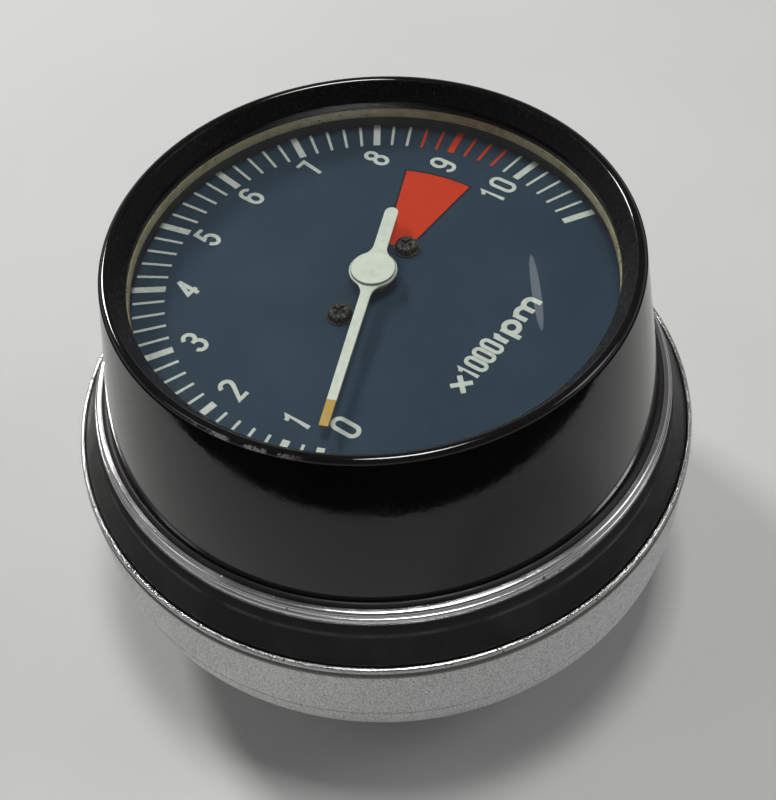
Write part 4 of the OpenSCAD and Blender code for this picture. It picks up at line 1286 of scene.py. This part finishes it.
def seal_outline():
    """Outline of the seal: a wedge beside the hood and a leg under the hood's flange."""
    gap = 0.03
    wedge_r, wedge_w, wedge_top = 49.25, 0.35, HOOD_FOOT_Z + 1.0
    ring_edge, ring_low = 50.05, 49.0
    flange_r, flange_low = 50.63, 47.93
    outer, leg_r, foot = 50.95, 49.3, 47.2
    return [
        (HOOD_FOOT_R + gap, HOOD_FOOT_Z), (wedge_r, wedge_top), (wedge_r + wedge_w, wedge_top),
        (ring_edge, RING_TOP_Z), (ring_edge, ring_low), (outer, ring_low), (outer, foot),
        (leg_r, foot), (leg_r, flange_low), (flange_r, flange_low), (flange_r, HOOD_FOOT_Z),
    ]


def ring_outline():
    """Outline of the crimp ring: a bead on the seal, a step, and an edge rolled under the seam."""
    bead_r, bead_round = 50.7, 0.7
    step_r, step_z, step_round = 51.45, 48.15, 0.3
    turn_r, turn_round = 51.35, 0.4
    edge_r, bevel, seal_top = 50.1, 0.1, 49.0
    rolled_r, inside_r = 49.35, 51.0
    bead = bow((bead_r, RING_TOP_Z - bead_round), (bead_round, bead_round), 90, 0, steps=8)
    step = bow((step_r, step_z), (step_round, step_round), 90, 0, steps=5)
    turn = bow((turn_r, SEAM_Z), (turn_round, turn_round), 0, -90, steps=6)
    return [
        (edge_r, seal_top), (edge_r, RING_TOP_Z - bevel), (edge_r + bevel, RING_TOP_Z),
        *bead, *step, *turn, (rolled_r, SEAM_Z - turn_round), (rolled_r, SEAM_Z),
        (turn_r, SEAM_Z), (turn_r, 47.75), (inside_r, 47.95), (inside_r, seal_top),
    ]


class TACHO_OT_seam(bpy.types.Operator):
    """Build the rubber seal and the chrome crimp ring"""

    bl_idname = "tacho.seam"
    bl_label = "Seal and Crimp Ring"
    bl_options = {"REGISTER", "UNDO"}

    def execute(self, context):
        rubber = aged_rubber("seal_rubber", (0.008, 0.0055, 0.0055), 0.15).material
        piece = turned_piece("seal_wedge", seal_outline(), rubber)
        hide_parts("case_seal")
        chrome = ring_chrome(context.scene.tacho_finish).material
        piece = turned_piece("ring_crimped", ring_outline(), chrome)
        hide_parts("crimp_ring")
        return {"FINISHED"}


def cushion_outline():
    """Outline of the cushion: a sleeve, a sloping top with a knee, and a skirt inside the cup."""
    sleeve_r, top_r = CUSHION_R - 7.1, CUSHION_R - 4.0
    knee_r, knee_z = CUSHION_R - 2.7, CUSHION_TOP_Z - 1.75
    skirt_top, sleeve_low = BEAD_TOP_Z - 0.6, CUSHION_LOW_Z + 2
    wall = 2.0
    return [
        (sleeve_r, CUSHION_TOP_Z), (top_r, CUSHION_TOP_Z), (knee_r, knee_z),
        (CUSHION_R, BEAD_TOP_Z), (CUSHION_R, CUSHION_LOW_Z), (CUSHION_R - wall, CUSHION_LOW_Z),
        (CUSHION_R - wall, skirt_top), (knee_r - wall, knee_z - wall),
        (sleeve_r + wall, knee_z - wall), (sleeve_r + wall, sleeve_low), (sleeve_r, sleeve_low),
    ]


class TACHO_OT_cushion(bpy.types.Operator):
    """Build the rubber cushion with soft edges"""

    bl_idname = "tacho.cushion"
    bl_label = "Cushion"
    bl_options = {"REGISTER", "UNDO"}

    def execute(self, context):
        rubber = cushion_rubber(context.scene.tacho_finish).material
        outline = rounded(cushion_outline(), 0.45)
        piece = turned_piece("cushion_soft", outline, rubber)
        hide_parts("cushion_ring")
        return {"FINISHED"}


def cup_outline():
    """Outline of the cup: a round corner, a pressed line, a wall and a thin bead on a neck."""
    corner = (CUP_R - CUP_CORNER, CUP_FLOOR_Z + CUP_CORNER)
    corner_round, inner_round = (CUP_CORNER,) * 2, (CUP_CORNER - CUP_WALL,) * 2
    shoulder_z, groove = BEAD_Z - 1.0, 0.25
    neck_angle = 52
    bead = bow((BEAD_R, BEAD_Z), (BEAD_ROUND,) * 2, -neck_angle, 180 + neck_angle, steps=18)
    ferrule_hole = 8.5
    return [
        (ferrule_hole, CUP_FLOOR_Z), *bow(corner, corner_round, -90, 0, steps=20),
        (CUP_R, CUP_LINE_Z - groove), (CUP_R - groove, CUP_LINE_Z), (CUP_R, CUP_LINE_Z + groove),
        (CUP_R, shoulder_z), (CUP_R - groove, shoulder_z + groove), *bead,
        (CUP_R - CUP_WALL, shoulder_z), *bow(corner, inner_round, 0, -90, steps=20),
        (ferrule_hole, CUP_FLOOR_Z + CUP_WALL),
    ]


def drill_at(place, radius, low, high):
    """A round bar to cut a hole with, by millimetres."""
    count = SMALL_SEGMENTS
    rows = turned_points([(radius, low), (radius, high)], count, place)
    caps = [tuple(range(count)), tuple(range(count, 2 * count))]
    return linked("drill", outward_mesh("drill", rows, caps + wall_faces(count)))


def drilled(piece, holes, low, high):
    """Cuts round holes through a piece's floor, each given by its place and radius."""
    drills = [drill_at((x, y), radius, low, high) for x, y, radius in holes]
    for drill in drills:
        piece.modifiers.new("hole", "BOOLEAN").object = drill
    bpy.context.view_layer.update()
    whole = piece.evaluated_get(bpy.context.evaluated_depsgraph_get())
    cut = bpy.data.meshes.new_from_object(whole)
    piece.modifiers.clear()
    piece.data = cut
    shade_softly(cut)
    for drill in drills:
        bpy.data.objects.remove(drill)


class TACHO_OT_cup(bpy.types.Operator):
    """Build the chrome cup with its thin bead"""

    bl_idname = "tacho.cup"
    bl_label = "Cup"
    bl_options = {"REGISTER", "UNDO"}

    def execute(self, context):
        chrome = cup_chrome(context.scene.tacho_finish).material
        piece = turned_piece("cup_rolled", cup_outline(), chrome)
        stud_hole, wire_hole, wire_y = 5.6, 4.8, 22.0
        holes = [(-STUD_X, STUD_Y, stud_hole), (STUD_X, STUD_Y, stud_hole), (0, wire_y, wire_hole)]
        drilled(piece, holes, CUP_FLOOR_Z - 1, CUP_FLOOR_Z + CUP_WALL + 1)
        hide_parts("lower_cup")
        return {"FINISHED"}


def ferrule_outline():
    """Outline of the ferrule above its thread: neck, body, collar, shank, bore and socket."""
    neck_r, neck_z = 5.3, 10.2
    body_r, body_z = 6.5, 10.9
    collar_z, can_z = FERRULE_TOP_Z - 8.2, FERRULE_TOP_Z - 6.7
    shank_r, bore_r = 4.9, 3.63
    socket_r, socket_z = 4.0, 10.0
    mouth_r, mouth_z, thread_start_r = 4.5, 0.5, 5.4
    above_thread = rounded([
        (neck_r, neck_z), (neck_r, body_z), (body_r, body_z), (body_r, collar_z),
        (FERRULE_R, collar_z), (FERRULE_R, can_z), (shank_r, can_z), (shank_r, FERRULE_TOP_Z),
        (bore_r, FERRULE_TOP_Z), (bore_r, socket_z), (socket_r, socket_z), (socket_r, mouth_z),
        (mouth_r, 0.0),
    ], 0.18, 2)
    return above_thread + [(thread_start_r, 0.0)]


class TACHO_OT_drive_end(bpy.types.Operator):
    """Build the cable ferrule with its thread"""

    bl_idname = "tacho.drive_end"
    bl_label = "Cable Ferrule"
    bl_options = {"REGISTER", "UNDO"}

    def execute(self, context):
        alloy = metal("ferrule_alloy", (0.50, 0.48, 0.43), 0.36, grain=2.5).material
        thread = Thread(outer=6.0, depth=0.55, pitch=1.0, low=0.0, high=9.5, chamfer=0.6)
        segments = 96
        rings = [threaded_points(ferrule_outline(), thread, segments)]
        piece = piece_of_rings("ferrule_threaded", rings, segments, alloy)
        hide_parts("cable_ferrule")
        return {"FINISHED"}


def nut_rows(reach, flats, bore, low, high):
    """Radius and height of each row of a nut, where its flank is as far out as reach."""
    edge = 0.3
    chamfer_r = flats / 2 * 0.99
    slope = math.tan(math.radians(28))
    rise = (reach - chamfer_r) * slope
    return [
        (bore, low + edge), (bore + edge, low), (chamfer_r, low), (reach, low + rise),
        (reach, high - rise), (chamfer_r, high), (bore + edge, high), (bore, high - edge),
    ]


def nut_points(middle, flats, bore, low, high, segments):
    """Points of a hexagon nut with turned chamfers, as closed rows from the bore out and back."""
    columns = []
    for i in range(segments):
        angle = 2 * math.pi * i / segments
        sixth = (angle % (math.pi / 3)) - math.pi / 6
        reach = flats / 2 / math.cos(sixth)
        columns.append([
            (middle[0] + radius * math.cos(angle), middle[1] + radius * math.sin(angle), height)
            for radius, height in nut_rows(reach, flats, bore, low, high)
        ])
    return [point for row in zip(*columns) for point in row]


def stud_outline():
    """Outline of a stud above its thread: a shank, a flat head, and its end below."""
    shank_r, middle_r, end_r = 2.68, 0.01, 2.2
    head_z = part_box("mounting_studs")[1].z / MM
    head_low = head_z - 1.5
    above_thread = rounded([
        (shank_r, NUT_LOW_Z), (shank_r, head_low), (STUD_HEAD_R, head_low), (STUD_HEAD_R, head_z),
        (middle_r, head_z),
    ], 0.15, 2)
    return above_thread + [(middle_r, 0.0), (end_r, 0.0)]


def damper_outline():
    """Outline of a damper: a spool that grips the cup's floor."""
    low, top = (corner.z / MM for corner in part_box("stud_dampers"))
    bore, waist, outer = 2.8, 5.5, 8.0
    sheet_z = CUP_FLOOR_Z + CUP_WALL
    return rounded([
        (bore, low), (outer, low), (outer, CUP_FLOOR_Z), (waist, CUP_FLOOR_Z),
        (waist, sheet_z), (outer, sheet_z), (outer, top), (bore, top),
    ], 0.5)


class TACHO_OT_mounting(bpy.types.Operator):
    """Build the threaded studs, their chamfered nuts and rubber dampers"""

    bl_idname = "tacho.mounting"
    bl_label = "Studs and Nuts"
    bl_options = {"REGISTER", "UNDO"}

    def execute(self, context):
        places = [(-STUD_X, STUD_Y), (STUD_X, STUD_Y)]
        zinc = metal("zinc_steel", (0.52, 0.53, 0.52), 0.3, grain=3.5)
        self.studs(places, zinc.material)
        self.nuts(places, zinc.material)
        self.dampers(places, context.scene.tacho_finish)
        dress(zinc, "stud_washers")
        return {"FINISHED"}

    def studs(self, places, zinc):
        """Studs with a thread on their free ends and flat heads inside the can."""
        thread = Thread(outer=3.0, depth=0.32, pitch=1.0, low=0.0, high=NUT_LOW_Z, chamfer=0.5)
        outline, count = stud_outline(), SMALL_SEGMENTS
        rings = [threaded_points(outline, thread, count, place) for place in places]
        piece = piece_of_rings("studs_threaded", rings, count, zinc)
        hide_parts("mounting_studs")

    def nuts(self, places, zinc):
        """Hexagon nuts with turned chamfers."""
        flats, bore, count = 10.0, 2.72, 72
        rings = [nut_points(place, flats, bore, NUT_LOW_Z, NUT_TOP_Z, count) for place in places]
        piece = piece_of_rings("nuts_chamfered", rings, count, zinc)
        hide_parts("stud_nuts")

    def dampers(self, places, look):
        """Spools of soft rubber through the cup's floor."""
        rubber = aged_rubber("damper_rubber", look.rubber, 0.2).material
        piece = turned_piece(
            "dampers_soft", damper_outline(), rubber, SMALL_SEGMENTS, places,
        )
        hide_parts("stud_dampers")


def grommet_outline(low_z, high_z, bore, hole, outer):
    """Outline of a grommet: a spool that sits in a hole of the cup's floor."""
    waist = hole - 0.1
    sheet_low, sheet_high = CUP_FLOOR_Z - 0.05, CUP_FLOOR_Z + 1.05
    return rounded([
        (bore, low_z), (outer, low_z), (outer, sheet_low), (waist, sheet_low),
        (waist, sheet_high), (outer, sheet_high), (outer, high_z), (bore, high_z),
    ], 0.5)


class TACHO_OT_grommets(bpy.types.Operator):
    """Build the soft grommets in the cup's floor"""

    bl_idname = "tacho.grommets"
    bl_label = "Grommets"
    bl_options = {"REGISTER", "UNDO"}

    def execute(self, context):
        rubber = aged_rubber("grommet_rubber", context.scene.tacho_finish.rubber, 0.25).material
        for node, bore, hole in (("ferrule_grommet", 6.6, 8.5), ("wire_grommet", 3.2, 4.8)):
            low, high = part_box(node)
            middle = (0, (low.y + high.y) / 2 / MM)
            outer = (high.x - low.x) / 2 / MM
            outline = grommet_outline(low.z / MM, high.z / MM, bore, hole, outer)
            piece = turned_piece(
                node + "_soft", outline, rubber, SMALL_SEGMENTS, [middle],
            )
            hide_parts(node)
        return {"FINISHED"}


# Metals inside: name, colour, roughness, lathe pitch or scale of the grain, and their nodes
INNER_METALS = (
    ("turned_brass", (0.62, 0.44, 0.18), 0.25, {"lathe_pitch": 0.2},
     ("hair_collet", "spring_stud")),
    ("darkened_brass", (0.09, 0.08, 0.05), 0.45, {"lathe_pitch": 0.2},
     ("pointer_hub", "staff_bush")),
    ("turned_steel", (0.55, 0.55, 0.56), 0.22, {"lathe_pitch": 0.18},
     ("pointer_staff", "stop_posts", "bridge_screws", "frame_screws", "drive_spindle")),
    ("blued_spring", (0.16, 0.20, 0.34), 0.28, {"lathe_pitch": 0.3}, ("hairspring",)),
    ("clip_steel", (0.20, 0.20, 0.22), 0.35, {"lathe_pitch": 0.3}, ("retaining_ring",)),
    ("spun_aluminium", (0.72, 0.73, 0.74), 0.28, {"lathe_pitch": 0.25},
     ("drag_cup", "magnet_hub")),
    ("magnet_alloy", (0.15, 0.15, 0.16), 0.5, {"grain": 2.0}, ("magnet",)),
    ("flux_steel", (0.34, 0.34, 0.36), 0.35, {"lathe_pitch": 0.3}, ("flux_ring",)),
    ("cast_frame", (0.42, 0.42, 0.42), 0.5, {"grain": 1.6}, ("movement_frame", "upper_bridge")),
    ("sintered_bronze", (0.50, 0.28, 0.12), 0.45, {"grain": 5.0},
     ("upper_bush", "lower_bush", "thrust_washer")),
    ("can_zinc", (0.46, 0.46, 0.45), 0.38, {"grain": 1.2}, ("rear_can",)),
)


class TACHO_OT_movement(bpy.types.Operator):
    """Finish the drag-cup movement and the shells round it"""

    bl_idname = "tacho.movement"
    bl_label = "Movement and Can"
    bl_options = {"REGISTER", "UNDO"}

    def execute(self, context):
        for name, colour, roughness, texture, nodes in INNER_METALS:
            dress(metal(name, colour, roughness, **texture), *nodes)
        dress(moulded("pan_white", (0.78, 0.78, 0.74), 0.4), "reflector_pan")
        return {"FINISHED"}


class TACHO_OT_lamps(bpy.types.Operator):
    """Finish the dial lamps"""

    bl_idname = "tacho.lamps"
    bl_label = "Lamps"
    bl_options = {"REGISTER", "UNDO"}

    def execute(self, context):
        dress(moulded("lamp_moulding", (0.02, 0.02, 0.02), 0.45), "lamp_holders")
        dress(bulb_glass(), "lamp_bulbs")
        return {"FINISHED"}


def floor_surface(colour, backdrop):
    """Matt pale floor, faintly mottled, which for the camera fades into the backdrop."""
    fade_start, fade_end = 260 * MM, 1100 * MM
    finish = Finish("floor_matt", colour, 0.75, Specular_IOR_Level=0.25)
    mottle = finish.span(finish.noise(0.008, 4), 0.35, 0.7)
    finish.set("Base Color", finish.mix(mottle, colour, shaded(colour, 0.965)))
    tree = finish.tree
    place = tree.nodes.new("ShaderNodeTexCoord")
    away = tree.nodes.new("ShaderNodeVectorMath")
    away.operation = "LENGTH"
    feed(tree, away.inputs[0], place.outputs["Object"])
    far = finish.span(away.outputs["Value"], fade_start, fade_end)
    path = tree.nodes.new("ShaderNodeLightPath")
    glow = tree.nodes.new("ShaderNodeEmission")
    glow.inputs["Strength"].default_value = backdrop
    seen_far = finish.times(far, path.outputs["Is Camera Ray"])
    shader = mixed_shaders(tree, seen_far, finish.shader.outputs[0], glow.outputs[0])
    tree.links.new(shader, tree.nodes["Material Output"].inputs["Surface"])
    return finish


def flat_sheet(name, corners, material, faces=None):
    """A flat sheet of the stage, by its corners in millimetres, in one face if none are given."""
    mesh = bpy.data.meshes.new(name)
    one_face = [tuple(range(len(corners)))]
    mesh.from_pydata([Vector(c) * MM for c in corners], [], faces or one_face)
    mesh.materials.append(material)
    sheet = linked(name, mesh)
    return sheet


def direction(azimuth, elevation):
    """Unit vector towards an azimuth from +X and an elevation, in degrees."""
    turn, rise = math.radians(azimuth), math.radians(elevation)
    flat = math.cos(rise)
    return Vector((math.cos(turn) * flat, math.sin(turn) * flat, math.sin(rise)))


def softbox(name, azimuth, elevation, distance, size, watts,
            colour=(1, 1, 1), shape="RECTANGLE", roll=0):
    """A flat lamp that looks at the dial, placed by metres and rolled by degrees."""
    dial_middle = Vector((0, 0, 0.06))
    data = bpy.data.lights.new(name, "AREA")
    data.shape = shape
    data.size, data.size_y = size
    data.energy = watts
    data.color = colour
    away = direction(azimuth, elevation)
    turn = Matrix.Rotation(math.radians(roll), 3, "Z").to_quaternion()
    lamp = linked(name, data)
    lamp.location = dial_middle + away * distance
    lamp.rotation_euler = (away.to_track_quat("Z", "Y") @ turn).to_euler()


def dark_reflection_card():
    """A dark ring of card on the floor, seen only in gloss: a painted dark reflection that keeps
    the hood's top black.
    """
    near, far, lift = 150, 900, 0.5
    segments = 96
    corners = turned_points([(near, lift), (far, lift)], segments)
    finish = Finish("reflection_card_black", (0.008, 0.008, 0.009), 0.9, Specular_IOR_Level=0.0)
    card = flat_sheet("dark_reflection_card", corners, finish.material, wall_faces(segments))
    card.visible_camera = False
    card.visible_diffuse = False
    card.visible_shadow = False
    card.visible_transmission = False


def place_camera(studio):
    """The camera at the reference view."""
    data = bpy.data.cameras.new("reference_camera")
    data.sensor_width = 36
    data.lens = studio.lens
    data.clip_start = 0.01
    right = Vector(studio.camera_right).normalized()
    back = right.cross(Vector(studio.camera_up)).normalized()
    turn = Matrix((right, back.cross(right), back)).transposed().to_4x4()
    camera = linked("reference_camera", data)
    camera.matrix_world = Matrix.Translation(Vector(studio.camera_place) * MM) @ turn
    bpy.context.scene.camera = camera


def light_world(studio):
    """Soft surroundings, pale near the floor and dim above, with one backdrop for the camera."""
    horizon_rise, sky_rise = 0.22, 0.55
    cool_white = (1, 1, 1.02, 1)
    world = bpy.data.worlds.new("studio_world")
    bpy.context.scene.world = world
    world.use_nodes = True
    tree = world.node_tree
    place = tree.nodes.new("ShaderNodeTexCoord")
    parts = tree.nodes.new("ShaderNodeSeparateXYZ")
    feed(tree, parts.inputs[0], place.outputs["Generated"])
    level = mapped(tree, parts.outputs[2], horizon_rise, sky_rise, studio.horizon, studio.sky)
    path = tree.nodes.new("ShaderNodeLightPath")
    paler = math_node(tree, "SUBTRACT", studio.backdrop, level)
    seen = math_node(tree, "MULTIPLY_ADD", paler, path.outputs["Is Camera Ray"], level)
    feed(tree, tree.nodes["Background"].inputs["Strength"], seen)
    tree.nodes["Background"].inputs["Color"].default_value = cool_white


def hang_lamps(studio):
    """The key lamp, the soft lamps round it and the narrow lamp that glints in the glass."""
    warm_white = (1.0, 0.985, 0.96)
    softbox("key_lamp", azimuth=78, elevation=38, distance=1.0, size=(0.18, 0.18),
            watts=studio.key_power, colour=warm_white)
    softbox("ceiling_lamp", azimuth=20, elevation=82, distance=1.2, size=(0.26, 0.26),
            watts=studio.ceiling_power)
    softbox("fill_right", azimuth=310, elevation=42, distance=1.2, size=(0.4, 0.4),
            watts=studio.fill_power)
    softbox("sheen_left", azimuth=135, elevation=45, distance=1.0, size=(0.25, 0.25), watts=0.3)
    softbox("glint_right", azimuth=26.7, elevation=46.9, distance=1.0, size=(0.009, 0.075),
            watts=0.0017, shape="ELLIPSE", roll=14)


class TACHO_OT_studio(bpy.types.Operator):
    """Set the floor, lamps, surroundings and camera"""

    bl_idname = "tacho.studio"
    bl_label = "Studio"
    bl_options = {"REGISTER", "UNDO"}

    def execute(self, context):
        studio = context.scene.tacho_studio
        reach = 3000
        floor = [(-reach, -reach, 0), (reach, -reach, 0), (reach, reach, 0), (-reach, reach, 0)]
        flat_sheet("studio_floor", floor, floor_surface(studio.floor, studio.backdrop).material)
        hang_lamps(studio)
        dark_reflection_card()
        place_camera(studio)
        light_world(studio)
        context.scene.view_settings.view_transform = "Standard"
        return {"FINISHED"}


STEPS = (
    TACHO_OT_hood, TACHO_OT_glazing, TACHO_OT_dial, TACHO_OT_pointer, TACHO_OT_seam,
    TACHO_OT_cushion, TACHO_OT_cup, TACHO_OT_drive_end, TACHO_OT_mounting, TACHO_OT_grommets,
    TACHO_OT_movement, TACHO_OT_lamps, TACHO_OT_studio,
)


class TACHO_PT_panel(bpy.types.Panel):
    """Lists the steps and their settings."""

    bl_label = "Tachometer"
    bl_idname = "TACHO_PT_panel"
    bl_space_type = "VIEW_3D"
    bl_region_type = "UI"
    bl_category = "Tachometer"

    def draw(self, context):
        column = self.layout.column()
        for step in STEPS:
            column.operator(step.bl_idname)
        scene = context.scene
        for group in (scene.tacho_finish, scene.tacho_print, scene.tacho_studio):
            for name in group.__annotations__:
                column.prop(group, name)


CLASSES = (TachoFinish, TachoPrint, TachoStudio) + STEPS + (TACHO_PT_panel,)


def register():
    """Registers the classes and the scene's settings."""
    for cls in CLASSES:
        bpy.utils.register_class(cls)
    bpy.types.Scene.tacho_finish = PointerProperty(type=TachoFinish)
    bpy.types.Scene.tacho_print = PointerProperty(type=TachoPrint)
    bpy.types.Scene.tacho_studio = PointerProperty(type=TachoStudio)


def unregister():
    """Takes the settings and classes away again."""
    for name in ("tacho_studio", "tacho_print", "tacho_finish"):
        delattr(bpy.types.Scene, name)
    for cls in reversed(CLASSES):
        bpy.utils.unregister_class(cls)


def main():
    """Builds the looks."""
    register()
    build_groups()
    for step in STEPS:
        family, name = step.bl_idname.split(".")
        getattr(getattr(bpy.ops, family), name)()


if __name__ == "__main__":
    main()
